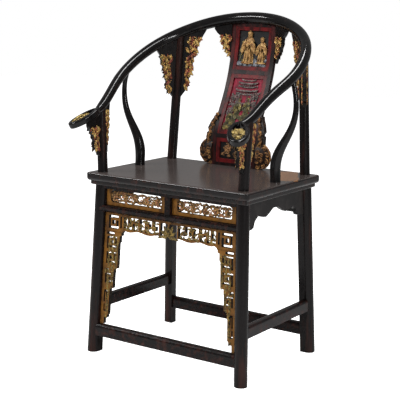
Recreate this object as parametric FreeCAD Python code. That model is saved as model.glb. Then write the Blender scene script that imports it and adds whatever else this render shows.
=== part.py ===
# Horseshoe back armchair in lacquered wood, millimetres, +Z up, front towards -Y.
# Origin on the floor under the middle of the chair's outline.
import FreeCAD, Part
import math
import os

Vector = FreeCAD.Vector

# Seat frame and panel
seat_width = 537.0
seat_depth = 379.0
seat_top = 520.0
seat_thickness = 34.0
seat_middle_y = -7.0
seat_corner_radius = 9.0
seat_edge_round = 5.0
seat_edge_height = 23.0
seat_ovolo_radius = 8.5
seat_bead_inset = 9.0
seat_bead_round = 3.0
seat_rail_width = 62.0
seat_panel_thickness = 14.0
panel_tongue_thickness = 7.0
panel_tongue_reach = 8.0
panel_gap = 0.3
mitre_tenon_width = 10.0
mitre_tenon_thickness = 9.0
mitre_tenon_setback = 2.0
mitre_tenon_reach = 36.0
batten_width = 34.0
batten_depth = 18.0
batten_spacing = 170.0
batten_dovetail = 4.0
batten_tenon = 12.0

# Legs that go on as posts above the seat
leg_diameter = 36.0
post_diameter = 29.0
post_head_diameter = 26.0
front_leg_inset = 34.5
rear_leg_inset = 37.5
front_overhang = 33.5
rear_overhang = 22.5
splay_x = 18.0
splay_y = 22.0
post_tenon_diameter = 12.0
post_tenon_length = 14.0

# Crest rail: half of its centre line, from the back to the tip of an arm. A point is how far
# it stands in from the seat's side, its share of the way from the front leg to the rear leg,
# and its share of the rise from the arms to the back
crest_rise = 424.7
arm_rise = 175.0
crest_back_reach = 69.2
crest_half_path = [
    (157.0, 1.2183, 0.9552),
    (66.0, 1.0464, 0.8230),
    (11.0, 0.7957, 0.6388),
    (-5.0, 0.5124, 0.4285),
    (10.5, 0.2508, 0.2383),
    (22.0, 0.0712, 0.0681),
    (28.0, -0.0248, 0.0),
]
crest_back_radius = 17.0
crest_arm_radius = 13.2
crest_tip_radius = 8.2
crest_stations = 14
rear_post_rake = 8.7
front_post_rake = 3.6
side_stile_rake = 9.0
shoulder_joint_gap = 80.7
arm_joint_gap = 52.7
scarf_length = 56.0
wedge_pin_wide = 7.0
wedge_pin_narrow = 5.5

# Hand rest loops and their pierced flowers
loop_inset = 16.0
loop_reach = 56.5
loop_drop = 21.0
loop_outward_angle = 28.3
loop_droop_angle = 26.0
loop_half_length = 48.0
loop_half_width = 28.5
loop_bar_width = 11.5
loop_depth = 18.0
loop_edge_round = 4.5
flower_depth = 10.0
flower_gap = 0.2
flower_hole_radius = 3.6
flower_hole_count = 6

# Side stiles: outward from the stile's foot, share of its rise to the arm, and radius there
side_stile_inset = 38.5
side_stile_back = 8.5
side_stile_path = [
    (-0.5, 0.140, 14.6),
    (9.0, 0.279, 13.4),
    (31.0, 0.419, 10.9),
    (50.5, 0.559, 9.0),
    (58.5, 0.733, 7.4),
    (52.0, 0.894, 7.0),
]
side_stile_foot_radius = 15.0
stile_tenon_diameter = 16.0
stile_tenon_length = 20.0
stile_head_tenon = 6.0

# Splat: (back, up) of its front face from its foot
splat_width = 150.0
splat_thickness = 13.0
splat_inset = 36.0
splat_path = [(0.5, 40.0), (8.0, 100.0), (42.5, 180.0), (76.0, 260.0), (90.0, 320.0)]
splat_stile_width = 13.0
splat_moulding_width = 11.0
splat_tenon = 8.0
splat_tongue_thickness = 6.0
splat_bottom_rail_height = 9.0
splat_cross_rail_height = 12.0
splat_lower_panel_height = 71.0
splat_upper_panel_height = 125.0
splat_top_rail_drop = 25.7
splat_panel_thickness = 5.0
splat_panel_setback = 5.2
splat_groove = 3.0
groove_gap = 0.1
moulding_setback = 0.6

# Pierced gourds at the splat's foot; leaves are (out from the splat's edge, up from the seat)
gourd_radius = 38.5
gourd_centre_out = 9.0
gourd_half_thickness = 13.0
gourd_flat = 1.5
gourd_leaf_thickness = 14.0
gourd_leaf_outline = [(24, 70), (23, 92), (17, 97), (22, 106), (15, 126), (9, 136), (4, 148)]

# Spandrels: (distance from the post's axis, drop below its head) down the free edge; the
# splat's are (distance from its edge, drop below the crest rail)
spandrel_thickness = 11.0
splat_spandrel_outline = [(54, 35), (46, 46), (36, 55), (35, 70), (26, 91), (10, 113), (3, 128)]
splat_spandrel_angle = 25.0
rear_outer_outline = [(78, 43), (67, 58), (60, 68), (56, 87), (50, 101), (45, 115), (43, 128),
                      (37, 136), (37, 156), (33, 169), (23, 176), (15, 188)]
rear_outer_angle = 58.0
rear_inner_outline = [(76, -9), (67, 8), (58, 29), (52, 30), (54, 56), (51, 66), (43, 75),
                      (42, 118), (34, 131), (34, 158), (28, 168), (14, 188)]
rear_inner_angle = 38.0
front_fore_outline = [(59, 48), (56, 55), (41, 71), (37, 89), (37, 112), (34, 115), (21, 117),
                      (21, 130), (12, 135)]
front_fore_top = (6.0, 28.0)
front_back_outline = [(34, -12), (28, 28), (27, 51), (22, 66), (22, 86), (18, 103), (17, 125)]

# Rails, strut, panels and fret apron in the front frame. Openings of the band are (from, to)
# in shares of the way from the middle to a corner spiral, then (from, to) in shares of its
# height; steps of the leg are (width, share of its height); its slots are two shares of its
# height and a width
front_top_rail_height = 10.0
front_panel_height = 48.0
mid_rail_height = 18.0
front_rail_front = 16.0
front_rail_back = 12.0
strut_width = 18.0
strut_depth = 20.0
strut_tenon = 5.0
board_thickness = 12.0
board_tongue_thickness = 5.0
board_tongue_reach = 4.0
frame_border = 16.0
pierced_rows = 2
pierced_columns = 7
fret_band_height = 53.0
fret_openings = [(0.690, 0.905, 0.698, 0.811), (0.440, 0.643, 0.698, 0.811),
                 (0.690, 0.893, 0.113, 0.226), (0.452, 0.631, 0.113, 0.226),
                 (0.345, 0.399, 0.189, 0.774), (0.179, 0.286, 0.585, 0.774)]
fret_leg_steps = [(52, 1.0), (56, 0.557), (44, 0.549), (42, 0.359), (30, 0.344), (30, 0.088),
                  (23, 0.066), (13, 0.059)]
fret_leg_slots = [(0.857, 0.945, 16), (0.733, 0.821, 16), (0.593, 0.689, 16), (0.410, 0.505, 14),
                  (0.161, 0.278, 8)]
fret_corner_width = 37.0
fret_slot = 4.0

# Cusped side and rear aprons: (distance from the middle, drop below the seat) along the lower
# edge; tenons are by their drops below the seat
apron_thickness = 12.0
side_apron_half_edge = [(13, 34), (34, 46), (50, 53), (66, 51), (90, 45), (106, 56), (113, 72), (124, 76)]
rear_apron_half_edge = [(40, 34), (62, 46), (82, 53), (104, 51), (134, 45), (156, 56), (166, 72), (180, 76)]
apron_tenon_thickness = 8.0
apron_tenon_low_drop = 50.0
apron_tenon_high_drop = 16.0
rear_tenon_drop = 4.0
rear_tenon_height = 20.0

# Stretchers
stretcher_height = 34.0
stretcher_width = 26.0
stretcher_round = 9.0
front_stretcher_bottom = 50.0
side_stretcher_bottom = 126.0
tenon_thickness = 10.0
tenon_length = 14.0
tenon_shoulder = 4.0
mortise_gap = 0.1

# Worked out from the sizes above
leg_radius = leg_diameter / 2
seat_bottom = seat_top - seat_thickness
seat_front_y = seat_middle_y - seat_depth / 2
seat_rear_y = seat_middle_y + seat_depth / 2
front_leg_x = seat_width / 2 - front_leg_inset
rear_leg_x = seat_width / 2 - rear_leg_inset
front_leg_y = seat_front_y + front_overhang
rear_leg_y = seat_rear_y - rear_overhang
front_top_rail_bottom = seat_bottom - front_top_rail_height
mid_rail_top = front_top_rail_bottom - front_panel_height
mid_rail_bottom = mid_rail_top - mid_rail_height
fret_band_bottom = mid_rail_bottom - fret_band_height
front_stretcher_top = front_stretcher_bottom + stretcher_height
apron_tenon_bottom = seat_bottom - apron_tenon_low_drop
apron_tenon_top = seat_bottom - apron_tenon_high_drop
crest_height = seat_top + crest_rise
arm_height = seat_top + arm_rise
crest_back_y = seat_rear_y + crest_back_reach
loop_centre = Vector(seat_width / 2 - loop_inset, front_leg_y - loop_reach, arm_height - loop_drop)
side_stile_y = seat_middle_y + side_stile_back
splat_half = splat_width / 2
splat_foot_y = seat_rear_y - splat_inset
splat_top = crest_height - crest_back_radius / 2
splat_bottom_rail_top = seat_top + splat_bottom_rail_height
splat_lower_rail_bottom = splat_bottom_rail_top + splat_lower_panel_height
splat_lower_rail_top = splat_lower_rail_bottom + splat_cross_rail_height
splat_top_rail_bottom = crest_height - splat_top_rail_drop
splat_upper_rail_top = splat_top_rail_bottom - splat_upper_panel_height
splat_upper_rail_bottom = splat_upper_rail_top - splat_cross_rail_height
gourd_centre_x = splat_half + gourd_centre_out
up = Vector(0, 0, 1)
big = 2000.0

parts = {}


def box(x0, x1, y0, y1, z0, z1):
    """A box between six planes, given in any order."""
    low = Vector(min(x0, x1), min(y0, y1), min(z0, z1))
    return Part.makeBox(abs(x1 - x0), abs(y1 - y0), abs(z1 - z0), low)


def largest(shape):
    """The largest solid of a cut shape."""
    return max(shape.Solids, key=lambda solid: solid.Volume)


def prism(points, along):
    """A closed outline of 3-D points in one plane, extruded along a vector."""
    wire = Part.makePolygon(points + [points[0]])
    return Part.Face(wire).extrude(along)


def mirrored(shape):
    """The same piece on the other side of the chair."""
    return shape.mirror(Vector(0, 0, 0), Vector(1, 0, 0))


def between(low, high, share):
    """A value part of the way from low to high."""
    return low + (high - low) * share


# Crest rail centre line
def crest_curve():
    """The whole centre line, from the left loop round the back to the right loop."""
    tip = loop_centre - loop_axes()[0] * (loop_half_length - loop_bar_width / 2)
    half = [Vector(seat_width / 2 - inward, between(front_leg_y, rear_leg_y, way),
                   between(arm_height, crest_height, rise)) for inward, way, rise in crest_half_path]
    half.append(tip)
    left = [Vector(-point.x, point.y, point.z) for point in reversed(half)]
    curve = Part.BSplineCurve()
    curve.interpolate(left + [Vector(0, crest_back_y, crest_height)] + half)
    return curve


def loop_axes():
    """The right loop's long, cross and upward directions."""
    out = math.radians(loop_outward_angle)
    droop = math.radians(loop_droop_angle)
    long = Vector(math.sin(out) * math.cos(droop), -math.cos(out) * math.cos(droop), -math.sin(droop))
    cross = Vector(math.cos(out), math.sin(out), 0)
    return long, cross, cross.cross(long) * -1


def crest_at(place):
    """Point and direction at a place from 0, the back, to 1, the right arm's tip."""
    length = crest.length()
    value = crest.parameterAtDistance(length * (0.5 + place / 2), crest.FirstParameter)
    return crest.value(value), crest.tangent(value)[0]


def crest_place(y):
    """The place on the right half of the crest rail that lies at a depth."""
    low, high = 0.0, 1.0
    for step in range(40):
        middle = (low + high) / 2
        if crest_at(middle)[0].y > y:
            low = middle
        else:
            high = middle
    return low


def crest_radius(place):
    """Radius of the rail, which thins towards the arms and again into the loops."""
    share = abs(place)
    if share <= front_post_place:
        return between(crest_back_radius, crest_arm_radius, share / front_post_place)
    return between(crest_arm_radius, crest_tip_radius, (share - front_post_place) / (1 - front_post_place))


def section_frame(point, direction):
    """Placement whose Z runs along the direction and whose X stays level."""
    level = direction.cross(up).normalize()
    other = direction.cross(level).normalize()
    matrix = FreeCAD.Matrix(
        level.x, other.x, direction.x, point.x,
        level.y, other.y, direction.y, point.y,
        level.z, other.z, direction.z, point.z,
        0, 0, 0, 1,
    )
    return FreeCAD.Placement(matrix)


def circle_wire(point, direction, radius):
    """A round section with its seam always on the same side."""
    wire = Part.Wire(Part.Circle(Vector(0, 0, 0), up, radius).toShape())
    wire.Placement = section_frame(point, direction)
    return wire


def whole_crest():
    """The crest rail from tip to tip as one bar, before it is sawn into its lengths."""
    wires = []
    for step in range(crest_stations + 1):
        place = step / crest_stations
        point, direction = crest_at(place)
        wires.append(circle_wire(point, direction, crest_radius(place)))
    half = Part.makeLoft(wires, True, False)
    if half.Volume < 0:
        half.reverse()
    return half.fuse(mirrored(half))


def beyond(place):
    """Everything on the right past a lapped scarf; the lap's lower half belongs to it."""
    point, direction = crest_at(place)
    half = scarf_length / 2
    past = box(-big, big, -big, big, half, big)
    lap = box(-big, big, 0, big, -half, half)
    region = past.fuse(lap)
    region.Placement = section_frame(point, direction)
    return region.common(box(0, big, -big, big, 0, big))


def wedge_pin(place):
    """The square wedge that locks a scarf, driven level through the lap."""
    point, direction = crest_at(place)
    reach = crest_back_radius + 4
    wires = []
    for x, size in ((-reach, wedge_pin_narrow), (reach, wedge_pin_wide)):
        half = size / 2
        points = [Vector(x, a * half, b * half) for a, b in ((-1, -1), (1, -1), (1, 1), (-1, 1))]
        wires.append(Part.makePolygon(points + [points[0]]))
    pin = Part.makeLoft(wires, True, True)
    pin.Placement = section_frame(point, direction)
    return pin


def loop_plate(half_length, half_width, depth):
    """An elliptical plate in the right loop's plane."""
    long, cross, normal = loop_axes()
    ellipse = Part.Ellipse(Vector(0, 0, 0), half_length, half_width).toShape()
    plate = Part.Face(Part.Wire(ellipse)).extrude(Vector(0, 0, depth))
    matrix = FreeCAD.Matrix(
        long.x, cross.x, normal.x, loop_centre.x,
        long.y, cross.y, normal.y, loop_centre.y,
        long.z, cross.z, normal.z, loop_centre.z,
        0, 0, 0, 1,
    )
    plate.translate(Vector(0, 0, -depth / 2))
    return plate.transformed(matrix)


def hand_loop():
    """The open oval loop that ends the right arm."""
    plate = loop_plate(loop_half_length, loop_half_width, loop_depth)
    hole = loop_plate(loop_half_length - loop_bar_width, loop_half_width - loop_bar_width, loop_depth * 2)
    loop = plate.cut(hole)
    rims = [edge for edge in loop.Edges if isinstance(edge.Curve, Part.Ellipse)]
    return loop.makeFillet(loop_edge_round, rims)


def hand_flower():
    """The pierced gilt flower inside the right loop."""
    inner_length = loop_half_length - loop_bar_width - flower_gap
    inner_width = loop_half_width - loop_bar_width - flower_gap
    flower = loop_plate(inner_length, inner_width, flower_depth)
    long, cross, normal = loop_axes()
    for step in range(flower_hole_count):
        angle = 2 * math.pi * step / flower_hole_count
        centre = loop_centre + long * (0.6 * inner_length * math.cos(angle))
        centre = centre + cross * (0.55 * inner_width * math.sin(angle)) - normal * flower_depth
        flower = flower.cut(Part.makeCylinder(flower_hole_radius, flower_depth * 2, centre, normal))
    return flower


# Legs and posts
def leg_axis(front, z):
    """The right-hand leg's axis at a height, splayed outwards towards the floor."""
    drop = (seat_top - z) / seat_top
    if front:
        return Vector(front_leg_x + splay_x * drop, front_leg_y - splay_y * drop, z)
    return Vector(rear_leg_x + splay_x * drop, rear_leg_y + splay_y * drop, z)


def leg_below_seat(front):
    """The right-hand leg: round outside, square at its inner corner."""
    inward = 1 if front else -1
    foot = leg_axis(front, 0)
    r = leg_radius
    diagonal = r * math.sqrt(0.5)
    first = foot + Vector(0, inward * r, 0)
    last = foot + Vector(-r, 0, 0)
    corner = foot + Vector(-r, inward * r, 0)
    outer = Part.Arc(first, foot + Vector(diagonal, -inward * diagonal, 0), last).toShape()
    square = [Part.makeLine(last, corner), Part.makeLine(corner, first)]
    face = Part.Face(Part.Wire([outer] + square))
    return face.extrude(leg_axis(front, seat_bottom) - foot)


def post_axis(front, z):
    """The right-hand post's axis, from the leg's axis at the seat top to the crest rail."""
    low = leg_axis(front, seat_top)
    high = crest_at(front_post_place if front else rear_post_place)[0]
    return low + (high - low) * ((z - low.z) / (high.z - low.z))


def post_above(front, growth):
    """The right-hand post from the seat's underside to the crest rail's centre line."""
    low = post_axis(front, seat_bottom)
    high = crest_at(front_post_place if front else rear_post_place)[0]
    direction = high - low
    radius = post_diameter / 2 + growth
    head = post_head_diameter / 2 + growth
    return Part.makeCone(radius, head, direction.Length, low, direction)


def post_tenon(front, growth):
    """The round tenon on the right-hand post's head."""
    place = front_post_place if front else rear_post_place
    high = crest_at(place)[0]
    direction = (high - post_axis(front, seat_bottom)).normalize()
    start = high - direction * (crest_radius(place) + post_tenon_length / 2)
    length = post_tenon_length / 2 + crest_radius(place) - tenon_shoulder / 2
    return Part.makeCylinder(post_tenon_diameter / 2 + growth, length, start, direction)


# Members that run between two legs
def x_member(front, outline, tenon_low, tenon_high):
    """A rail along X between two legs; the outline is (y from the legs' axis, z)."""
    middle = (tenon_low + tenon_high) / 2
    axis = leg_axis(front, middle)
    points = [Vector(-axis.x, axis.y + y, z) for y, z in outline]
    rail = largest(prism(points, Vector(2 * axis.x, 0, 0)).cut(leg_pair(front)))
    inner = axis.x - leg_radius
    half = tenon_thickness / 2
    for side in (-1, 1):
        tenon = box(side * (inner - tenon_shoulder), side * (inner + tenon_length),
                    axis.y - half, axis.y + half, tenon_low, tenon_high)
        hole = box(side * (inner - tenon_shoulder), side * (inner + tenon_length + mortise_gap),
                   axis.y - half - mortise_gap, axis.y + half + mortise_gap,
                   tenon_low - mortise_gap, tenon_high + mortise_gap)
        rail = rail.fuse(tenon)
        mortises[(front, side)].append(hole)
    return rail.removeSplitter()


def y_member(side, outline, tenon_low, tenon_high):
    """A rail along Y between the legs of one side; the outline is (x from the legs' axis, z)."""
    middle = (tenon_low + tenon_high) / 2
    fore = leg_axis(True, middle)
    aft = leg_axis(False, middle)
    points = [Vector(side * (fore.x + x), fore.y, z) for x, z in outline]
    rail = largest(prism(points, Vector(side * (aft.x - fore.x), aft.y - fore.y, 0)).cut(leg_side(side)))
    half = tenon_thickness / 2
    for front, axis, way in ((True, fore, -1), (False, aft, 1)):
        inner = axis.y - way * leg_radius
        tenon = box(side * (axis.x - half), side * (axis.x + half), inner - way * tenon_shoulder,
                    inner + way * tenon_length, tenon_low, tenon_high)
        hole = box(side * (axis.x - half - mortise_gap), side * (axis.x + half + mortise_gap),
                   inner - way * tenon_shoulder, inner + way * (tenon_length + mortise_gap),
                   tenon_low - mortise_gap, tenon_high + mortise_gap)
        rail = rail.fuse(tenon)
        mortises[(front, side)].append(hole)
    return rail.removeSplitter()


def leg_pair(front):
    """Both front or both rear legs, for fitting a rail's shoulders to them."""
    leg = leg_bodies[front]
    return leg.fuse(mirrored(leg))


def leg_side(side):
    """Both legs of one side."""
    pair = leg_bodies[True].fuse(leg_bodies[False])
    return pair if side > 0 else mirrored(pair)


def rounded_outline(width, low, high, radius):
    """A bar's section with its two upper edges rounded by short flats."""
    half = width / 2
    turns = [math.radians(degrees) for degrees in (0, 30, 60, 90)]
    turn = [(radius * (1 - math.cos(angle)), radius * math.sin(angle)) for angle in turns]
    left = [(-half + x, high - radius + z) for x, z in turn]
    right = [(half - x, high - radius + z) for x, z in reversed(turn)]
    return [(-half, low)] + left + right + [(half, low)]


# Seat
def rounded_plate(inset, low, high):
    """The seat's plan with round corners, drawn in by an inset."""
    half_x = seat_width / 2 - inset
    half_y = seat_depth / 2 - inset
    plate = box(-half_x, half_x, seat_middle_y - half_y, seat_middle_y + half_y, low, high)
    corners = [edge for edge in plate.Edges if edge.BoundBox.ZLength > (high - low) * 0.9]
    return plate.makeFillet(seat_corner_radius - inset / 2, corners)


def moulded_seat():
    """The seat slab with its moulded edge: rounded band with an ovolo below it, then a bead."""
    low = seat_top - seat_edge_height
    band = rounded_plate(0, low, seat_top)
    top_edges = [edge for edge in band.Edges if edge.BoundBox.ZMin > seat_top - 0.01]
    band = band.makeFillet(seat_edge_round, top_edges)
    low_edges = [edge for edge in band.Edges if edge.BoundBox.ZMax < low + 0.01]
    band = band.makeFillet(seat_ovolo_radius, low_edges)
    bead = rounded_plate(seat_bead_inset, seat_bottom, low)
    bead_edges = [edge for edge in bead.Edges if edge.BoundBox.ZMax < seat_bottom + 0.01]
    bead = bead.makeFillet(seat_bead_round, bead_edges)
    return band.fuse(bead).removeSplitter()


def seat_pieces():
    """Four mitred rails, the floating panel and the dovetailed battens."""
    half_x = seat_width / 2
    inner_x = half_x - seat_rail_width
    inner_front = seat_front_y + seat_rail_width
    inner_rear = seat_rear_y - seat_rail_width
    ring = moulded_seat().cut(box(-inner_x, inner_x, inner_front, inner_rear, 0, big))
    groove_top = seat_top - (seat_panel_thickness - panel_tongue_thickness)
    groove_low = seat_top - seat_panel_thickness
    reach = panel_tongue_reach + panel_gap
    groove = box(-inner_x - reach, inner_x + reach, inner_front - reach, inner_rear + reach,
                 groove_low, groove_top)
    ring = ring.cut(groove)
    for x in (-batten_spacing / 2, batten_spacing / 2):
        slot = box(x - batten_width / 2, x + batten_width / 2, inner_front - batten_tenon,
                   inner_rear + batten_tenon, groove_low - batten_depth + tenon_shoulder, groove_low)
        ring = ring.cut(slot)

    run = seat_rail_width + 1
    front_cut = [(-half_x - 1, seat_front_y - 1), (half_x + 1, seat_front_y - 1),
                 (half_x + 1 - run, seat_front_y - 1 + run), (-half_x - 1 + run, seat_front_y - 1 + run)]
    rear_cut = [(x, 2 * seat_middle_y - y) for x, y in front_cut]
    tenon_high = groove_low - tenon_shoulder
    tenon_low = tenon_high - mitre_tenon_thickness
    sides = ring
    far = inner_x + mitre_tenon_reach
    for name, cut, inner_y, way in (
            ("seat_front_rail", front_cut, inner_front, -1), ("seat_rear_rail", rear_cut, inner_rear, 1)):
        wedge = prism([Vector(x, y, 0) for x, y in cut], Vector(0, 0, big))
        rail = ring.common(wedge)
        sides = sides.cut(wedge)
        y0 = inner_y + way * mitre_tenon_setback
        y1 = y0 + way * mitre_tenon_width
        for side in (-1, 1):
            rail = rail.fuse(box(side * inner_x, side * far, y0, y1, tenon_low, tenon_high))
            sides = sides.cut(box(side * inner_x, side * (far + mortise_gap), y0 - way * mortise_gap,
                                  y1 + way * mortise_gap, tenon_low - mortise_gap, tenon_high + mortise_gap))
        parts[name] = largest(rail.removeSplitter())
    parts["seat_left_rail"] = min(sides.Solids, key=lambda s: s.CenterOfMass.x)
    parts["seat_right_rail"] = max(sides.Solids, key=lambda s: s.CenterOfMass.x)

    panel = box(-inner_x, inner_x, inner_front, inner_rear, groove_low, seat_top)
    tongue = box(-inner_x - panel_tongue_reach, inner_x + panel_tongue_reach,
                 inner_front - panel_tongue_reach, inner_rear + panel_tongue_reach,
                 groove_low + panel_gap / 3, groove_top - panel_gap / 3)
    panel = panel.fuse(tongue).removeSplitter()
    for name, x in (("seat_batten_left", -batten_spacing / 2), ("seat_batten_right", batten_spacing / 2)):
        key = [(x - batten_width / 2, groove_low), (x + batten_width / 2, groove_low),
               (x + batten_width / 2 + 2, groove_low + batten_dovetail),
               (x - batten_width / 2 - 2, groove_low + batten_dovetail)]
        dovetail = prism([Vector(a, inner_front, b) for a, b in key], Vector(0, inner_rear - inner_front, 0))
        panel = panel.cut(dovetail)
        body = box(x - batten_width / 2, x + batten_width / 2, inner_front, inner_rear,
                   groove_low - batten_depth, groove_low)
        ends = box(x - batten_width / 2, x + batten_width / 2, inner_front - batten_tenon,
                   inner_rear + batten_tenon, groove_low - batten_depth + tenon_shoulder, groove_low)
        parts[name] = body.fuse(ends).fuse(dovetail).removeSplitter()
    parts["seat_panel"] = panel


# Splat
def splat_curve(offset):
    """The splat's S curve from its tenon to the crest rail, moved back by an offset."""
    points = [Vector(0, splat_foot_y, seat_top - splat_tenon), Vector(0, splat_foot_y, seat_top)]
    points += [Vector(0, splat_foot_y + back, seat_top + rise) for back, rise in splat_path]
    points.append(Vector(0, crest_back_y - splat_thickness / 2, crest_height))
    points = [point + Vector(0, offset, 0) for point in points]
    curve = Part.BSplineCurve()
    curve.interpolate(points)
    return curve.toShape(), points[0], points[-1]


def splat_slab(x0, x1, z0, z1, near, far):
    """A stretch of the splat between two depths behind its front face."""
    front, front_low, front_high = splat_curve(near)
    back, back_low, back_high = splat_curve(far)
    edges = [front, Part.makeLine(front_high, back_high), back, Part.makeLine(back_low, front_low)]
    face = Part.Face(Part.Wire(Part.__sortEdges__(edges)))
    face.translate(Vector(min(x0, x1), 0, 0))
    slab = face.extrude(Vector(abs(x1 - x0), 0, 0))
    return slab.common(box(-big, big, -big, big, z0, z1))


def splat_pieces():
    """Stiles, cross rails, mouldings and panels of the splat."""
    inner = splat_half - splat_stile_width
    tongue_near = (splat_thickness - splat_tongue_thickness) / 2
    low = seat_top - splat_tenon
    groove_near = splat_panel_setback - groove_gap
    groove_far = splat_panel_setback + splat_panel_thickness + groove_gap
    groove = splat_slab(-inner - splat_groove, inner + splat_groove, low, big, groove_near, groove_far)
    rails = {
        "splat_bottom_rail": (seat_top, splat_bottom_rail_top),
        "splat_lower_rail": (splat_lower_rail_bottom, splat_lower_rail_top),
        "splat_upper_rail": (splat_upper_rail_bottom, splat_upper_rail_top),
        "splat_top_rail": (splat_top_rail_bottom, splat_top),
    }
    stile = splat_slab(inner, splat_half, seat_top, splat_top, 0, splat_thickness)
    foot = splat_slab(inner, splat_half, low, seat_top, tongue_near, tongue_near + splat_tongue_thickness)
    seat_mortises.append(foot)
    seat_mortises.append(mirrored(foot))
    stile = largest(stile.cut(crest_bar)).fuse(foot).removeSplitter()
    bays = [
        ("lower", "splat_fruit_panel", splat_bottom_rail_top, splat_lower_rail_bottom),
        ("middle", "splat_scene_panel", splat_lower_rail_top, splat_upper_rail_bottom),
        ("upper", "splat_figure_panel", splat_upper_rail_top, splat_top_rail_bottom),
    ]
    for name, (z0, z1) in rails.items():
        rail = splat_slab(-inner, inner, z0, z1, 0, splat_thickness)
        ends = splat_slab(-inner - splat_groove, inner + splat_groove, z0, z1, groove_near, groove_far)
        rail = rail.fuse(ends)
        if name == "splat_top_rail":
            rail = min(rail.cut(crest_bar).Solids, key=lambda solid: solid.BoundBox.ZMin)
            tongue = splat_slab(-inner, inner, splat_top_rail_bottom + 4, splat_top, tongue_near,
                                tongue_near + splat_tongue_thickness)
            rail = rail.fuse(tongue)
            crest_mortises.append(tongue)
        parts[name] = rail.removeSplitter()
    for label, panel_name, z0, z1 in bays:
        panel = splat_slab(-inner - splat_groove, inner + splat_groove, z0 - splat_groove, z1 + splat_groove,
                           splat_panel_setback, splat_panel_setback + splat_panel_thickness)
        parts[panel_name] = panel
        width = splat_moulding_width
        outer = splat_slab(-inner, inner, z0, z1, moulding_setback, splat_panel_setback)
        opening = box(-inner + width, inner - width, -big, big, z0 + width, z1 - width)
        parts["splat_" + label + "_moulding"] = outer.cut(opening)
        for rail_name in rails:
            parts[rail_name] = largest(parts[rail_name].cut(panel))
    right = largest(stile.cut(groove))
    parts["splat_right_stile"] = right
    parts["splat_left_stile"] = mirrored(right)


def gourd_carving():
    """The right-hand pierced gourd with its leaves, standing on the seat beside the splat."""
    middle_y = splat_foot_y + splat_thickness / 2
    middle = Vector(gourd_centre_x, middle_y, seat_top + gourd_radius - gourd_flat)
    sphere = (gourd_radius ** 2 + gourd_half_thickness ** 2) / (2 * gourd_half_thickness)
    shift = Vector(0, sphere - gourd_half_thickness, 0)
    gourd = Part.makeSphere(sphere, middle - shift).common(Part.makeSphere(sphere, middle + shift))
    outline = [(splat_half + out, seat_top + rise) for out, rise in gourd_leaf_outline]
    outline += [(splat_half, outline[-1][1]), (splat_half, middle.z)]
    leaves = prism([Vector(x, 0, z) for x, z in outline], Vector(0, big, 0))
    room = splat_slab(splat_half, splat_half + gourd_radius, middle.z, big, -1, gourd_leaf_thickness)
    leaves = leaves.common(room)
    gourd = gourd.cut(box(0, splat_half, -big, big, 0, big)).cut(box(0, big, -big, big, 0, seat_top))
    return largest(gourd.fuse(leaves).removeSplitter())


# Spandrels
def upright_board(root_at, heading, outline):
    """A flat board; root_at gives where reach 0 lies at a height, the heading is level."""
    side = Vector(-heading.y, heading.x, 0)
    near = side * (spandrel_thickness / -2)
    points = [root_at(z) + heading * reach + near for reach, z in outline]
    return prism(points, side * spandrel_thickness)


def lower_piece(shape):
    """The piece that stays below the crest rail after it is fitted to the rail."""
    solids = [solid for solid in shape.Solids if solid.Volume > 200]
    return min(solids, key=lambda solid: solid.BoundBox.ZMin)


def post_spandrel(front, heading, outline, top):
    """A right-hand spandrel beside a post, fitted to the post, the rail and the loop."""
    head = crest_at(front_post_place if front else rear_post_place)[0].z
    closing = [(0, outline[-1][1] + 5), (0, top[0]), (outline[0][0], top[1])]
    points = [(reach, head - drop) for reach, drop in outline + closing]
    board = upright_board(lambda z: post_axis(front, z), heading, points)
    return lower_piece(board.cut(post_above(front, 0)).cut(crest_bar).cut(whole_loop))


def level_heading(degrees):
    """A level direction at an angle from +X towards +Y."""
    return Vector(math.cos(math.radians(degrees)), math.sin(math.radians(degrees)), 0)


def splat_spandrel():
    """The right-hand spandrel between splat and crest rail."""
    points = [(reach, crest_height - drop) for reach, drop in splat_spandrel_outline]
    heights = [z for reach, z in points]
    middle = splat_depth_at(sum(heights) / len(heights)) + splat_thickness / 2
    root = Vector(splat_half, middle, 0)
    inside = -spandrel_thickness
    points += [(inside, heights[-1] - 4), (inside, crest_height), (points[0][0], crest_height)]
    board = upright_board(lambda z: root + up * z, level_heading(-splat_spandrel_angle), points)
    board = board.cut(box(-splat_half, splat_half, -big, big, 0, big))
    return lower_piece(board.cut(crest_bar))


def splat_depth_at(z):
    """Where the splat's front face lies at a height."""
    front = splat_curve(0)[0]
    level = Part.makeLine(Vector(0, -big, z), Vector(0, big, z))
    return front.distToShape(level)[1][0][0].y


# Front frame boards, which lean with the legs
def front_plane(x, z, y=0.0):
    """A point in the leaning plane of the front legs' axes."""
    return Vector(x, leg_axis(True, z).y + y, z)


def front_board(outline, thickness, middle=board_thickness / 2):
    """A board parallel to the front plane from an outline of (x, z)."""
    points = [front_plane(x, z, middle - thickness / 2) for x, z in outline]
    return prism(points, Vector(0, thickness, 0))


def front_block(x0, x1, z0, z1, thickness=board_thickness * 3, middle=board_thickness / 2):
    """A block in the front plane, by default deep enough to pierce a board."""
    return front_board([(x0, z0), (x1, z0), (x1, z1), (x0, z1)], thickness, middle)


def inner_leg_x(z):
    """The front leg's inner face at a height."""
    return leg_axis(True, z).x - leg_radius


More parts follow.
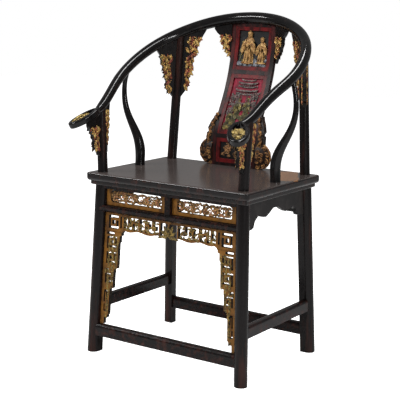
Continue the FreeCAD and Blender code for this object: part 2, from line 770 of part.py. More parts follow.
def pierced_panel():
    """The right-hand pierced panel between strut, leg and the two front rails."""
    low, high = mid_rail_top, front_top_rail_bottom
    near = strut_width / 2
    board = front_board([(near, low), (inner_leg_x(low), low), (inner_leg_x(high), high), (near, high)],
                        board_thickness)
    x0, x1 = near + frame_border, inner_leg_x(high) - frame_border
    z0, z1 = low + frame_border * 0.62, high - frame_border * 0.3
    step_x = (x1 - x0) / pierced_columns
    step_z = (z1 - z0) / pierced_rows
    for column in range(pierced_columns):
        for row in range(pierced_rows):
            x = x0 + step_x * (column + 0.5)
            z = z0 + step_z * (row + 0.5)
            wide, tall = step_x * 0.36, step_z * 0.36
            diamond = [(x - wide, z), (x, z - tall), (x + wide, z), (x, z + tall)]
            board = board.cut(front_board(diamond, board_thickness * 3))
    return fit_tongues(board, (near, inner_leg_x(low) - 2), low, high)


def fit_tongues(board, span, low, high):
    """Tongues along a board's top and bottom edges, let into the rails."""
    x0, x1 = span
    reach = board_tongue_reach
    edges = (("front_mid_rail", low - reach, low + 1), ("front_top_rail", high - 1, high + reach))
    for rail_name, z0, z1 in edges:
        if z1 > 0 and rail_name in parts:
            tongue = front_block(x0, x1, z0, z1, board_tongue_thickness)
            board = board.fuse(tongue)
            both = tongue.fuse(mirrored(tongue))
            parts[rail_name] = largest(parts[rail_name].cut(both))
    return board.removeSplitter()


def fret_band():
    """The fret apron's band: corner spirals, open scrolls and a centre flower."""
    low, high = fret_band_bottom, mid_rail_bottom
    edge_low, edge_high = inner_leg_x(low), inner_leg_x(high)
    outline = [(-edge_low, low), (edge_low, low), (edge_high, high), (-edge_high, high)]
    board = front_board(outline, board_thickness)
    slot = fret_slot
    for side in (-1, 1):
        x1 = edge_high - 14
        x0 = x1 - fret_corner_width
        z0, z1 = low + 8, high - 11
        spiral = [
            (x0, x1, z1 - slot, z1),
            (x1 - slot, x1, z0, z1),
            (x0, x1, z0, z0 + slot),
            (x0 + 10, x1 - 10, z0 + 12, z1 - 12),
        ]
        openings = [(x0 * a, x0 * b, between(low, high, c), between(low, high, d))
                    for a, b, c, d in fret_openings]
        for a, b, c, d in spiral + openings:
            board = board.cut(front_block(side * a, side * b, c, d))
    grip = board_tongue_reach
    core = front_board([(-edge_low - grip, low), (edge_low + grip, low), (edge_high + grip, high),
                        (-edge_high - grip, high)], board_tongue_thickness)
    ends = core.cut(front_block(-edge_low + 4, edge_low - 4, 0, big))
    for side in (-1, 1):
        mortises[(True, side)].append(ends)
    tongue = front_block(-edge_low + 6, edge_low - 6, high - 1, high + board_tongue_reach,
                         board_tongue_thickness)
    parts["front_mid_rail"] = largest(parts["front_mid_rail"].cut(tongue))
    return largest(board.fuse(ends).fuse(tongue).removeSplitter())


def fret_leg():
    """The right-hand hanging leg of the fret apron, stepped along its inner edge."""
    low, high = front_stretcher_top, fret_band_bottom
    steps = [(width, between(low, high, share)) for width, share in fret_leg_steps]
    inner = [(inner_leg_x(z) - width, z) for width, z in steps]
    strip = inner_leg_x(low) - fret_leg_steps[-1][0]
    outer = [(strip, low), (inner_leg_x(low), low), (inner_leg_x(high), high)]
    board = front_board(inner + outer, board_thickness)
    for share_low, share_high, width in fret_leg_slots:
        z0, z1 = between(low, high, share_low), between(low, high, share_high)
        x1 = inner_leg_x(z1) - 14
        board = board.cut(front_block(x1 - width, x1 - width * 0.6, z0, z1))
        board = board.cut(front_block(x1 - width * 0.35, x1, z0 + 4, z1 - 4))
    grip = board_tongue_reach
    rim = [(inner_leg_x(z) + grip, z) for z in (low, high)]
    core = front_board([(inner_leg_x(low) - 4, low), rim[0], rim[1], (inner_leg_x(high) - 4, high)],
                       board_tongue_thickness)
    mortises[(True, 1)].append(core)
    mortises[(True, -1)].append(mirrored(core))
    return largest(board.fuse(core).removeSplitter())


# Cusped aprons
def cusped_edge(half_edge):
    """Both halves of a cusped lower edge, from one end to the other."""
    half = [(a, seat_bottom - drop) for a, drop in half_edge]
    return [(-a, z) for a, z in reversed(half)] + half


def side_apron(side):
    """A side apron between front and rear leg; its outer face is in the plane of their axes."""
    middle_y = (front_leg_y + rear_leg_y) / 2
    lowest = seat_bottom - side_apron_half_edge[-1][1]
    ends = [(leg_axis(False, z).y - middle_y, z) for z in (lowest, seat_bottom)]
    outline = cusped_edge(side_apron_half_edge) + ends + [(-y, z) for y, z in reversed(ends)]
    points = [Vector(leg_axis(True, z).x - apron_thickness, middle_y + y, z) for y, z in outline]
    pair = leg_side(1)
    board = largest(prism(points, Vector(apron_thickness, 0, 0)).cut(pair))
    outer = leg_axis(True, apron_tenon_top).x - (apron_thickness - apron_tenon_thickness) / 2
    for front, way in ((True, -1), (False, 1)):
        inner = leg_axis(front, apron_tenon_top).y - way * leg_radius
        tenon = box(outer - apron_tenon_thickness, outer, inner - way * tenon_shoulder,
                    inner + way * tenon_length, apron_tenon_bottom, apron_tenon_top)
        board = board.fuse(tenon)
        mortises[(front, side)].append(tenon if side > 0 else mirrored(tenon))
    board = board.removeSplitter()
    return board if side > 0 else mirrored(board)


def rear_apron():
    """The rear apron between the rear legs; its outer face is in the plane of their axes."""
    lowest = seat_bottom - rear_apron_half_edge[-1][1]
    ends = [(leg_axis(False, z).x, z) for z in (lowest, seat_bottom)]
    outline = cusped_edge(rear_apron_half_edge) + ends + [(-x, z) for x, z in reversed(ends)]
    points = [Vector(x, leg_axis(False, z).y - apron_thickness, z) for x, z in outline]
    board = largest(prism(points, Vector(0, apron_thickness, 0)).cut(leg_pair(False)))
    high = apron_tenon_bottom - rear_tenon_drop
    outer = leg_axis(False, high).y - (apron_thickness - apron_tenon_thickness) / 2
    inner = leg_axis(False, high).x - leg_radius
    for side in (-1, 1):
        tenon = box(side * (inner - tenon_shoulder), side * (inner + tenon_length),
                    outer - apron_tenon_thickness, outer, high - rear_tenon_height, high)
        board = board.fuse(tenon)
        mortises[(False, side)].append(tenon)
    return board.removeSplitter()


# Side stiles
def side_stile():
    """The right-hand S-curved stile from the seat rail up to the arm."""
    foot = Vector(seat_width / 2 - side_stile_inset, side_stile_y, seat_top)
    head = crest_at(side_stile_place)[0]
    points = [foot - up * seat_edge_round]
    points += [foot + Vector(out, 0, share * (head.z - foot.z)) for out, share, radius in side_stile_path]
    points.append(head)
    radii = [side_stile_foot_radius] + [radius for out, share, radius in side_stile_path]
    radii.append(radii[-1])
    curve = Part.BSplineCurve()
    curve.interpolate(points)
    wires = []
    for point, radius in zip(points, radii):
        tangent = curve.tangent(curve.parameter(point))[0]
        level = Vector(tangent.z, 0, -tangent.x).normalize()
        frame = FreeCAD.Placement(point, FreeCAD.Rotation(level, Vector(0, 1, 0), tangent, "ZXY"))
        wire = Part.Wire(Part.Circle(Vector(0, 0, 0), up, radius).toShape())
        wire.Placement = frame
        wires.append(wire)
    bar = Part.makeLoft(wires, True, False)
    bar = lower_piece(bar.common(box(0, big, -big, big, seat_top, big)).cut(crest_bar))
    direction = (head - points[-2]).normalize()
    start = head - direction * (crest_arm_radius + 6)
    tenon = Part.makeCylinder(stile_head_tenon / 2, crest_arm_radius + 4, start, direction)
    crest_mortises.append(tenon)
    crest_mortises.append(mirrored(tenon))
    low_start = foot - up * stile_tenon_length
    low = Part.makeCylinder(stile_tenon_diameter / 2, stile_tenon_length + 1, low_start, up)
    seat_mortises.append(Part.makeCylinder(stile_tenon_diameter / 2 + mortise_gap, stile_tenon_length + 1,
                                           foot - up * (stile_tenon_length + mortise_gap), up))
    seat_mortises.append(mirrored(seat_mortises[-1]))
    return bar.fuse(tenon).fuse(low).removeSplitter()


# Build: what fits in what is cut in this order
crest = crest_curve()
rear_post_place = crest_place(rear_leg_y + rear_post_rake)
front_post_place = crest_place(front_leg_y + front_post_rake)
side_stile_place = crest_place(side_stile_y + side_stile_rake)
half_length = crest.length() / 2
shoulder_joint_place = rear_post_place - shoulder_joint_gap / half_length
arm_joint_place = side_stile_place - arm_joint_gap / half_length
crest_bar = whole_crest()
right_loop = hand_loop()
whole_loop = loop_plate(loop_half_length, loop_half_width, loop_depth)
right_flower = hand_flower()
leg_bodies = {True: leg_below_seat(True), False: leg_below_seat(False)}
mortises = {(front, side): [] for front in (True, False) for side in (-1, 1)}
seat_mortises = []
crest_mortises = []

# Rails and stretchers between the legs
half_flat = front_rail_front - 6
rail_outline = [
    (front_rail_back, mid_rail_bottom), (-half_flat, mid_rail_bottom),
    (-front_rail_front, mid_rail_bottom + 5), (-front_rail_front, mid_rail_top - 5),
    (-half_flat, mid_rail_top), (front_rail_back, mid_rail_top),
]
parts["front_mid_rail"] = x_member(True, rail_outline, mid_rail_bottom + 3, mid_rail_top - 3)
top_outline = [(-10, front_top_rail_bottom), (-10, seat_bottom), (10, seat_bottom),
               (10, front_top_rail_bottom)]
parts["front_top_rail"] = x_member(True, top_outline, front_top_rail_bottom + 1, seat_bottom - 2)
bar = rounded_outline(stretcher_width, front_stretcher_bottom, front_stretcher_top, stretcher_round)
tenon_span = (front_stretcher_bottom + 5, front_stretcher_top - 7)
parts["front_stretcher"] = x_member(True, bar, *tenon_span)
parts["rear_stretcher"] = x_member(False, bar, *tenon_span)
side_top = side_stretcher_bottom + stretcher_height - 2
bar = rounded_outline(stretcher_width - 4, side_stretcher_bottom, side_top, stretcher_round - 3)
for name, side in (("left_stretcher", -1), ("right_stretcher", 1)):
    parts[name] = y_member(side, bar, side_stretcher_bottom + 5, side_top - 6)

# Boards of the front frame and the aprons
strut = front_block(-strut_width / 2, strut_width / 2, mid_rail_top, front_top_rail_bottom, strut_depth, 0)
stub = front_block(-strut_width / 4, strut_width / 4, mid_rail_top - strut_tenon,
                   front_top_rail_bottom + strut_tenon, strut_width / 2, 0)
parts["front_strut"] = strut.fuse(stub).removeSplitter()
for name in ("front_mid_rail", "front_top_rail"):
    parts[name] = largest(parts[name].cut(stub))
parts["front_right_pierced_panel"] = pierced_panel()
parts["front_left_pierced_panel"] = mirrored(parts["front_right_pierced_panel"])
parts["front_apron_band"] = fret_band()
parts["front_apron_right_leg"] = fret_leg()
parts["front_apron_left_leg"] = mirrored(parts["front_apron_right_leg"])
parts["left_side_apron"] = side_apron(-1)
parts["right_side_apron"] = side_apron(1)
parts["rear_apron"] = rear_apron()

# Seat, splat and stiles
seat_pieces()
splat_pieces()
parts["right_side_stile"] = side_stile()
parts["left_side_stile"] = mirrored(parts["right_side_stile"])
parts["splat_right_gourd_carving"] = gourd_carving()
parts["splat_left_gourd_carving"] = mirrored(parts["splat_right_gourd_carving"])
parts["splat_right_spandrel"] = splat_spandrel()
parts["splat_left_spandrel"] = mirrored(parts["splat_right_spandrel"])
past_rail = (-crest_back_radius * 3, -crest_back_radius * 3)
rear_outer_heading = level_heading(-rear_outer_angle)
rear_inner_heading = level_heading(180 - rear_inner_angle)
headings = {
    "rear_%s_post_outer_spandrel": (False, rear_outer_heading, rear_outer_outline, past_rail),
    "rear_%s_post_inner_spandrel": (False, rear_inner_heading, rear_inner_outline, past_rail),
    "front_%s_post_fore_spandrel": (True, level_heading(-90), front_fore_outline, front_fore_top),
    "front_%s_post_back_spandrel": (True, level_heading(90), front_back_outline, past_rail),
}
for name, (front, heading, outline, top) in headings.items():
    board = post_spandrel(front, heading, outline, top)
    parts[name % "right"] = board
    parts[name % "left"] = mirrored(board)

# Legs with their posts, head tenons and mortises
for front, word in ((True, "front"), (False, "rear")):
    post = lower_piece(post_above(front, 0).cut(crest_bar))
    leg = leg_bodies[front].fuse(post).fuse(post_tenon(front, 0)).removeSplitter()
    hole = post_above(front, mortise_gap)
    head = post_tenon(front, mortise_gap)
    seat_mortises += [hole, mirrored(hole)]
    crest_mortises += [head, mirrored(head)]
    for side, hand in ((1, "right"), (-1, "left")):
        whole = leg if side > 0 else mirrored(leg)
        for tool in mortises[(front, side)]:
            whole = whole.cut(tool)
        parts[word + "_" + hand + "_leg_post"] = largest(whole)

# Seat rails get the holes of the posts, stiles and splat
for name in ("seat_front_rail", "seat_rear_rail", "seat_left_rail", "seat_right_rail"):
    for tool in seat_mortises:
        parts[name] = parts[name].cut(tool)
    parts[name] = largest(parts[name])

# Crest rail, sawn into five lengths and pinned
past_shoulder = beyond(shoulder_joint_place)
past_arm = beyond(arm_joint_place)
pins = [wedge_pin(place).common(crest_bar) for place in (shoulder_joint_place, arm_joint_place)]
pins += [mirrored(pin) for pin in pins]
arm = crest_bar.common(past_arm)
shoulder = crest_bar.common(past_shoulder).cut(past_arm)
centre = crest_bar.cut(past_shoulder).cut(mirrored(past_shoulder))
for tool in crest_mortises + pins:
    arm = arm.cut(tool)
    shoulder = shoulder.cut(tool)
    centre = centre.cut(tool)
parts["crest_rail_centre"] = largest(centre)
parts["crest_rail_right_shoulder"] = largest(shoulder)
parts["crest_rail_right_arm"] = largest(arm.fuse(right_loop).removeSplitter())
for word in ("shoulder", "arm"):
    parts["crest_rail_left_" + word] = mirrored(parts["crest_rail_right_" + word])
parts["crest_rail_wedge_pins"] = Part.makeCompound([solid for pin in pins for solid in pin.Solids])
parts["right_hand_rest_flower"] = right_flower
parts["left_hand_rest_flower"] = mirrored(right_flower)

os.makedirs("parts", exist_ok=True)
for name, shape in sorted(parts.items()):
    if not shape.isValid():
        print("not valid:", name)
    shape.exportStep(os.path.join("parts", name + ".step"))
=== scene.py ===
import math
import random

import bpy
from mathutils import Matrix, Vector


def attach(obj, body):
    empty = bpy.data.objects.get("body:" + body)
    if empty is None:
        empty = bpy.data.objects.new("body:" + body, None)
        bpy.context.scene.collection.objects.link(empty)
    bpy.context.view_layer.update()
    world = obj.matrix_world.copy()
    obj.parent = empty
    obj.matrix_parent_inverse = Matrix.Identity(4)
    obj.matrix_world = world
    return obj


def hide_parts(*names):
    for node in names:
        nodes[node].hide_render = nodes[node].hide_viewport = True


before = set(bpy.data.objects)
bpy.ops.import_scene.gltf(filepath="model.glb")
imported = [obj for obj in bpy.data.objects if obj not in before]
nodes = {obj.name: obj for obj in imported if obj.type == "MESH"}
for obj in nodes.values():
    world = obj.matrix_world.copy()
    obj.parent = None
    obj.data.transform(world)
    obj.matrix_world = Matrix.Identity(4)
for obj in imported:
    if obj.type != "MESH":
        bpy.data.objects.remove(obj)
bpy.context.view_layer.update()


# Room
# A pale floor under long soft lamps, with the camera where the photograph was taken
# from. The world is a plain grey for the object and white for the eye.
room_white = (1.0, 1.0, 1.0, 1.0)
room_grey = (0.25, 0.25, 0.25, 1.0)
floor_grey = (0.86, 0.86, 0.86, 1.0)
floor_size = 14
camera_target = Vector((0.000136, -0.021, 0.445921))
camera_azimuth, camera_elevation, camera_roll = 34.76, 10.856, 0.758
camera_distance, camera_lens = 3.2196, 103.42
lamps = (  # name, place, length, width, power
    ("key_lamp", (-1.5, -1.9, 2.3), 1.5, 0.25, 70),
    ("top_lamp", (0.3, 0.2, 2.9), 2.2, 0.3, 56),
    ("side_lamp", (2.6, -1.3, 1.5), 0.25, 1.4, 38),
)


def node(tree, kind, **values):
    """Adds a node; the values set its inputs or its own settings by name."""
    made = tree.nodes.new(kind)
    for key, value in values.items():
        label = key.replace("_", " ").title()
        if label in made.inputs:
            made.inputs[label].default_value = value
        else:
            setattr(made, key, value)
    return made


def wire(tree, links):
    """Links sockets: (from node, its output, to node, its input) for each."""
    for source, output, target, socket in links:
        tree.links.new(source.outputs[output], target.inputs[socket])


def material(name, gloss):
    """A new material, its node tree and its surface."""
    made = bpy.data.materials.new(name)
    made.use_nodes = True
    surface = made.node_tree.nodes["Principled BSDF"]
    surface.inputs["Specular IOR Level"].default_value = gloss
    return made, made.node_tree, surface


bpy.ops.object.select_all(action="DESELECT")
bpy.ops.mesh.primitive_plane_add(size=floor_size)
floor = bpy.context.object
floor.name = "floor"
floor_finish, tree, surface = material("pale_floor", 0.1)
surface.inputs["Base Color"].default_value = floor_grey
surface.inputs["Roughness"].default_value = 0.9
surface.inputs["Emission Color"].default_value = room_white
wire(tree, [(node(tree, "ShaderNodeLightPath"), "Is Camera Ray", surface, "Emission Strength")])
floor.data.materials.append(floor_finish)

world = bpy.data.worlds.new("room")
bpy.context.scene.world = world
world.use_nodes = True
tree = world.node_tree
seen = node(tree, "ShaderNodeLightPath")
either = node(tree, "ShaderNodeMath", operation="MAXIMUM")
shade = node(tree, "ShaderNodeMix", data_type="RGBA", a=room_grey, b=room_white)
wire(tree, [(seen, "Is Camera Ray", either, 0), (seen, "Is Transmission Ray", either, 1),
            (either, 0, shade, "Factor"), (shade, "Result", tree.nodes["Background"], "Color")])

for name, place, length, width, power in lamps:
    bpy.ops.object.light_add(type="AREA", location=place)
    lamp = bpy.context.object
    lamp.name = name
    lamp.data.shape = "RECTANGLE"
    lamp.data.size = length
    lamp.data.size_y = width
    lamp.data.energy = power
    lamp.rotation_euler = (camera_target - Vector(place)).to_track_quat("-Z", "Y").to_euler()

azimuth, elevation, roll = (math.radians(v) for v in (camera_azimuth, camera_elevation, camera_roll))
bpy.ops.object.camera_add()
camera = bpy.context.object
camera.matrix_world = (Matrix.Translation(camera_target) @ Matrix.Rotation(azimuth, 4, "Z")
                       @ Matrix.Rotation(math.pi / 2 - elevation, 4, "X") @ Matrix.Rotation(roll, 4, "Z")
                       @ Matrix.Translation((0, 0, camera_distance)))
camera.data.sensor_width = 36
camera.data.lens = camera_lens
bpy.context.scene.camera = camera
bpy.context.scene.view_settings.view_transform = "Standard"


# Legs, stretchers and front rails
# Turned and planed hardwood under black lacquer. The lacquer has worn through to
# red-brown wood in long streaks, most of all low on the legs and stretchers.
lacquer_black = (0.0065, 0.005, 0.005)
lacquer_brown = (0.055, 0.018, 0.0125)

# Wear: streaked noise for worn places, fine noise for grime, and a brush grain
wear = bpy.data.node_groups.new("hand_wear", "ShaderNodeTree")
for way, kind, names in (("INPUT", "NodeSocketVector", ("Vector",)),
                         ("INPUT", "NodeSocketFloat", ("Scale", "Stretch", "Start", "End")),
                         ("OUTPUT", "NodeSocketFloat", ("Worn", "Grime", "Grain"))):
    for name in names:
        wear.interface.new_socket(name=name, in_out=way, socket_type=kind)
inlet, outlet = node(wear, "NodeGroupInput"), node(wear, "NodeGroupOutput")
axes = node(wear, "ShaderNodeCombineXYZ", x=1.0, y=1.0)
drawn = node(wear, "ShaderNodeVectorMath", operation="MULTIPLY")
streaks = node(wear, "ShaderNodeTexNoise", detail=6.0, roughness=0.62)
spread = node(wear, "ShaderNodeMapRange")
grime = node(wear, "ShaderNodeTexNoise", scale=90.0, detail=4.0)
grain = node(wear, "ShaderNodeTexNoise", scale=320.0, detail=3.0)
wire(wear, [(inlet, "Stretch", axes, "Z"), (inlet, "Vector", drawn, 0), (axes, 0, drawn, 1),
            (drawn, 0, streaks, "Vector"), (inlet, "Scale", streaks, "Scale"),
            (streaks, "Fac", spread, "Value"), (inlet, "Start", spread, "From Min"),
            (inlet, "End", spread, "From Max"), (drawn, 0, grime, "Vector"), (drawn, 0, grain, "Vector"),
            (spread, "Result", outlet, "Worn"), (grime, "Fac", outlet, "Grime"),
            (grain, "Fac", outlet, "Grain")])


def lacquer(name, coat, worn, streaks, wears, rough, gloss, bump=0.0004):
    """A coat worn to another colour in streaks of (scale, stretch), where the noise is between
    the two values of wears. The roughness is for (clean, grimy) places."""
    made, tree, surface = material(name, gloss)
    place = node(tree, "ShaderNodeTexCoord")
    marks = node(tree, "ShaderNodeGroup", node_tree=wear, scale=streaks[0], stretch=streaks[1],
                 start=wears[0], end=wears[1])
    tint = node(tree, "ShaderNodeMix", data_type="RGBA", a=(*coat, 1), b=(*worn, 1))
    dull = node(tree, "ShaderNodeMapRange", to_min=rough[0], to_max=rough[1])
    soiled = node(tree, "ShaderNodeMix", data_type="RGBA", blend_type="MULTIPLY", factor=0.35)
    bumps = node(tree, "ShaderNodeBump", strength=0.25, distance=bump)
    wire(tree, [(place, "Object", marks, "Vector"), (marks, "Worn", tint, "Factor"),
                (tint, "Result", soiled, "A"), (marks, "Grime", soiled, "B"),
                (soiled, "Result", surface, "Base Color"), (marks, "Grime", dull, "Value"),
                (dull, "Result", surface, "Roughness"), (marks, "Grain", bumps, "Height"),
                (bumps, "Normal", surface, "Normal")])
    return made


def paint(finish, *names):
    """Gives CAD nodes a finish."""
    for name in names:
        nodes[name].data.materials.clear()
        nodes[name].data.materials.append(finish)


leg_lacquer = lacquer("leg_lacquer", lacquer_black, lacquer_brown, (34, 0.1), (0.5, 0.76), (0.12, 0.32),
                      0.16)
rail_lacquer = lacquer("rail_lacquer", lacquer_black, lacquer_brown, (60, 1.0), (0.48, 0.76), (0.12, 0.34),
                       0.17)
paint(leg_lacquer, "front_left_leg_post", "front_right_leg_post", "rear_left_leg_post", "rear_right_leg_post")
paint(rail_lacquer, "front_stretcher", "rear_stretcher", "left_stretcher", "right_stretcher",
      "front_mid_rail", "front_top_rail", "front_strut")


# Aprons at the sides and back
# Plain hardwood boards with a cusped lower edge, tenoned into the legs. The same
# black lacquer has gone dull and slightly grey on them.
apron_lacquer = lacquer("apron_lacquer", (0.012, 0.0105, 0.0105), (0.05, 0.043, 0.04), (18, 0.6),
                        (0.5, 0.85), (0.25, 0.5), 0.2)
paint(apron_lacquer, "left_side_apron", "right_side_apron", "rear_apron")


# Seat
# A framed panel of smooth dark boards. The lacquer is black on the moulded edge; the top is
# painted a lighter grey-brown, a painted sheen of the glossy lacquer. One ragged patch is bare and tan.
# The first colour is a painted sheen, laid on the seat's top face only; the second is the bare tan patch.
seat_top_sheen, seat_tan = (0.05, 0.04, 0.037, 1), (0.21, 0.095, 0.035, 1)
seat_edge_z, seat_top_z = 0.5172, 0.5192
patch_centre, patch_half_size = (0.209, 0.101, 0.52), (0.031, 0.08, 1.0)
patch_turn = math.radians(-30)
patch_outside, patch_inside, patch_ragged = 1.32, 1.27, 0.6
seat_lacquer = lacquer("seat_lacquer", lacquer_black, lacquer_brown, (60, 1.0), (0.5, 0.8), (0.17, 0.24),
                       0.3, 0.0001)
tree = seat_lacquer.node_tree
surface = tree.nodes["Principled BSDF"]
coat = surface.inputs["Base Color"].links[0].from_node
place = node(tree, "ShaderNodeTexCoord")
level = node(tree, "ShaderNodeSeparateXYZ")
# The height mask puts the painted sheen on the top face and leaves the moulded edge black.
height = node(tree, "ShaderNodeMapRange", from_min=seat_edge_z, from_max=seat_top_z)
tops = node(tree, "ShaderNodeMix", data_type="RGBA")
tone = node(tree, "ShaderNodeMix", data_type="RGBA", a=seat_top_sheen, b=seat_tan)
cloud = node(tree, "ShaderNodeTexNoise", scale=22.0, detail=6.0)
turned = node(tree, "ShaderNodeVectorRotate", center=patch_centre, angle=patch_turn)
centred = node(tree, "ShaderNodeVectorMath", operation="SUBTRACT")
centred.inputs[1].default_value = patch_centre
shares = node(tree, "ShaderNodeVectorMath", operation="DIVIDE")
shares.inputs[1].default_value = patch_half_size
away = node(tree, "ShaderNodeVectorMath", operation="ABSOLUTE")
sides = node(tree, "ShaderNodeSeparateXYZ")
farther = node(tree, "ShaderNodeMath", operation="MAXIMUM")
ragged = node(tree, "ShaderNodeMath", operation="MULTIPLY_ADD")
ragged.inputs[1].default_value = patch_ragged
near = node(tree, "ShaderNodeMapRange", from_min=patch_outside, from_max=patch_inside)
wire(tree, [(place, "Object", level, 0), (level, "Z", height, "Value"), (place, "Object", turned, "Vector"),
            (turned, "Vector", centred, 0), (centred, 0, shares, 0), (shares, 0, away, 0),
            (away, 0, sides, 0), (sides, "X", farther, 0), (sides, "Y", farther, 1),
            (place, "Object", cloud, "Vector"), (cloud, "Fac", ragged, 0), (farther, 0, ragged, 2),
            (ragged, 0, near, "Value"), (near, "Result", tone, "Factor"), (height, "Result", tops, "Factor"),
            (coat, "Result", tops, "A"), (tone, "Result", tops, "B"),
            (tops, "Result", surface, "Base Color")])
bare_wood = lacquer("bare_wood", (0.11, 0.052, 0.024), (0.17, 0.09, 0.045), (40, 0.2), (0.35, 0.65),
                    (0.5, 0.7), 0.2)
paint(seat_lacquer, "seat_panel", "seat_front_rail", "seat_rear_rail", "seat_left_rail", "seat_right_rail")
paint(bare_wood, "seat_batten_left", "seat_batten_right")


# Crest rail with its hand loops
# Five bent lengths scarfed and pinned into one round rail. Hands keep it black
# and glossy, with a few small scuffs.
crest_lacquer = lacquer("crest_lacquer", (0.005, 0.0045, 0.0047), (0.02, 0.014, 0.013), (42, 1.0),
                        (0.56, 0.76), (0.06, 0.16), 0.24)
paint(crest_lacquer, "crest_rail_centre", "crest_rail_left_shoulder", "crest_rail_right_shoulder",
      "crest_rail_left_arm", "crest_rail_right_arm", "crest_rail_wedge_pins")


# Side stiles
# Two S-curved round stiles, cut from thick boards and tenoned between the seat
# and the arms. They are the same glossy black as the rail.
paint(crest_lacquer, "left_side_stile", "right_side_stile")


# Splat frame, panels and mouldings
# Two curved stiles and four cross rails, black going to red-brown, with a dark
# red moulding round each of the three panels. The panels' backs are black.
splat_lacquer = lacquer("splat_lacquer", (0.009, 0.006, 0.006), (0.075, 0.017, 0.016), (40, 0.3),
                        (0.46, 0.68), (0.3, 0.46), 0.09)
moulding_red = lacquer("moulding_red", (0.14, 0.012, 0.013), (0.035, 0.009, 0.009), (46, 0.5), (0.44, 0.64),
                       (0.28, 0.45), 0.07)
paint(splat_lacquer, "splat_left_stile", "splat_right_stile", "splat_top_rail", "splat_upper_rail",
      "splat_lower_rail", "splat_bottom_rail")
paint(moulding_red, "splat_upper_moulding", "splat_middle_moulding", "splat_lower_moulding")
panel_black = lacquer("panel_black", (0.006, 0.0055, 0.0055), (0.03, 0.03, 0.034), (50, 1.0), (0.55, 0.8),
                      (0.3, 0.6), 0.2)
panel_red = lacquer("panel_red", (0.25, 0.013, 0.034), (0.07, 0.008, 0.013), (60, 0.5), (0.44, 0.66),
                    (0.35, 0.6), 0.08)
upper_panel, middle_panel, lower_panel = "splat_figure_panel", "splat_scene_panel", "splat_fruit_panel"
paint(panel_black, upper_panel, lower_panel)
paint(panel_red, middle_panel)
nodes[middle_panel].data.materials.append(panel_black)
for face in nodes[middle_panel].data.polygons:
    face.material_index = 1 if face.normal.y > 0.3 else 0


# Carver's stock: one leaf, one flower and one scroll
# Every carving on the chair is cut from these, and each copy has its own place,
# turn and size. The leaf is one long and lies along X, with its face up Z.
def lone(piece):
    """Selects one piece and nothing else."""
    bpy.ops.object.select_all(action="DESELECT")
    piece.select_set(True)
    bpy.context.view_layer.objects.active = piece


def pick(piece, test):
    """Opens a piece in edit mode with only the points that pass a test selected."""
    lone(piece)
    for point in piece.data.vertices:
        point.select = test(point.co)
    for edge in piece.data.edges:
        edge.select = all(piece.data.vertices[i].select for i in edge.vertices)
    for face in piece.data.polygons:
        face.select = all(piece.data.vertices[i].select for i in face.vertices)
    bpy.ops.object.mode_set(mode="EDIT")


def close_edit(mend=False):
    """Goes back to object mode, with every face turned outwards first where asked."""
    if mend:
        bpy.ops.mesh.select_all(action="SELECT")
        bpy.ops.mesh.normals_make_consistent(inside=False)
    bpy.ops.object.mode_set(mode="OBJECT")


def rounded(piece, degrees):
    """Shades a piece smooth, save for edges sharper than an angle."""
    lone(piece)
    bpy.ops.object.shade_smooth_by_angle(angle=math.radians(degrees))


def lay(pattern, place, turn, size):
    """A copy of a pattern, with its own mesh, at a place, turn and size."""
    copy = pattern.copy()
    copy.data = pattern.data.copy()
    copy.matrix_world = Matrix.Translation(place) @ turn.to_4x4() @ Matrix.Diagonal((*size, 1))
    bpy.context.scene.collection.objects.link(copy)
    return copy


def together(name, copies):
    """Joins copies into one piece whose place is in its mesh."""
    bpy.ops.object.select_all(action="DESELECT")
    for copy in copies:
        copy.select_set(True)
    bpy.context.view_layer.objects.active = copies[0]
    if len(copies) > 1:
        bpy.ops.object.join()
    piece = bpy.context.object
    bpy.ops.object.transform_apply(location=True, rotation=True, scale=True)
    piece.name = name
    return piece


def tube(places, radius, steps):
    """A round bar along a row of places."""
    bpy.ops.object.select_all(action="DESELECT")
    bpy.ops.curve.primitive_nurbs_path_add()
    bar = bpy.context.object
    line = bar.data.splines[0]
    line.points.add(len(places) - len(line.points))
    for point, place in zip(line.points, places):
        point.co = (*place, 1)
    line.order_u = 3
    line.use_endpoint_u = True
    bar.data.resolution_u = steps
    bar.data.bevel_depth = radius
    bar.data.bevel_resolution = 2
    bar.data.use_fill_caps = True
    bpy.ops.object.convert(target="MESH")
    return bpy.context.object


leaf_shape, leaf_hollow_z, soft_edge = (0.42, 0.56, 1.0), 0.045, 50
petal_count, petal_reach, petal_shape = 5, 0.27, (0.5, 0.62, 0.9)
eye_radius, eye_rise, eye_hollow_z = 0.15, 0.1, 0.06
spiral = [(-0.5, -0.2), (-0.25, 0.12), (0.1, 0.3), (0.4, 0.15), (0.42, -0.15), (0.15, -0.25), (0.02, -0.05),
          (0.18, 0.06)]
spiral_bar = 0.085
high = bpy.data.materials.new("high_places")
hollow = bpy.data.materials.new("hollows")
hollow_dark = lacquer("carving_hollows", (0.008, 0.006, 0.004), (0.05, 0.025, 0.01), (60, 1.0), (0.5, 0.7),
                      (0.35, 0.6), 0.12)


def two_tone(piece, is_side):
    """Marks a piece's faces as high places or, where a test of the face says so, hollows."""
    piece.data.materials.clear()
    piece.data.materials.append(high)
    piece.data.materials.append(hollow)
    for face in piece.data.polygons:
        face.material_index = 1 if is_side(face) else 0
    return piece


bpy.ops.object.select_all(action="DESELECT")
bpy.ops.mesh.primitive_uv_sphere_add(segments=12, ring_count=8, radius=0.5)
leaf = bpy.context.object
leaf.name = "leaf_pattern"
leaf.rotation_euler = (0, math.pi / 2, 0)
leaf.scale = leaf_shape
bpy.ops.object.transform_apply(location=False, rotation=True, scale=True)
pick(leaf, lambda co: co.x > 0.3)
bpy.ops.transform.resize(value=(1, 0.45, 0.6))
bpy.ops.transform.translate(value=(0.02, 0.05, 0))
close_edit()
pick(leaf, lambda co: abs(co.y) < 0.08 and co.z > 0.12 and co.x < 0.4)
bpy.ops.transform.translate(value=(0, 0, -0.09))
close_edit()
rounded(leaf, soft_edge)
two_tone(leaf, lambda face: face.center.z < leaf_hollow_z)

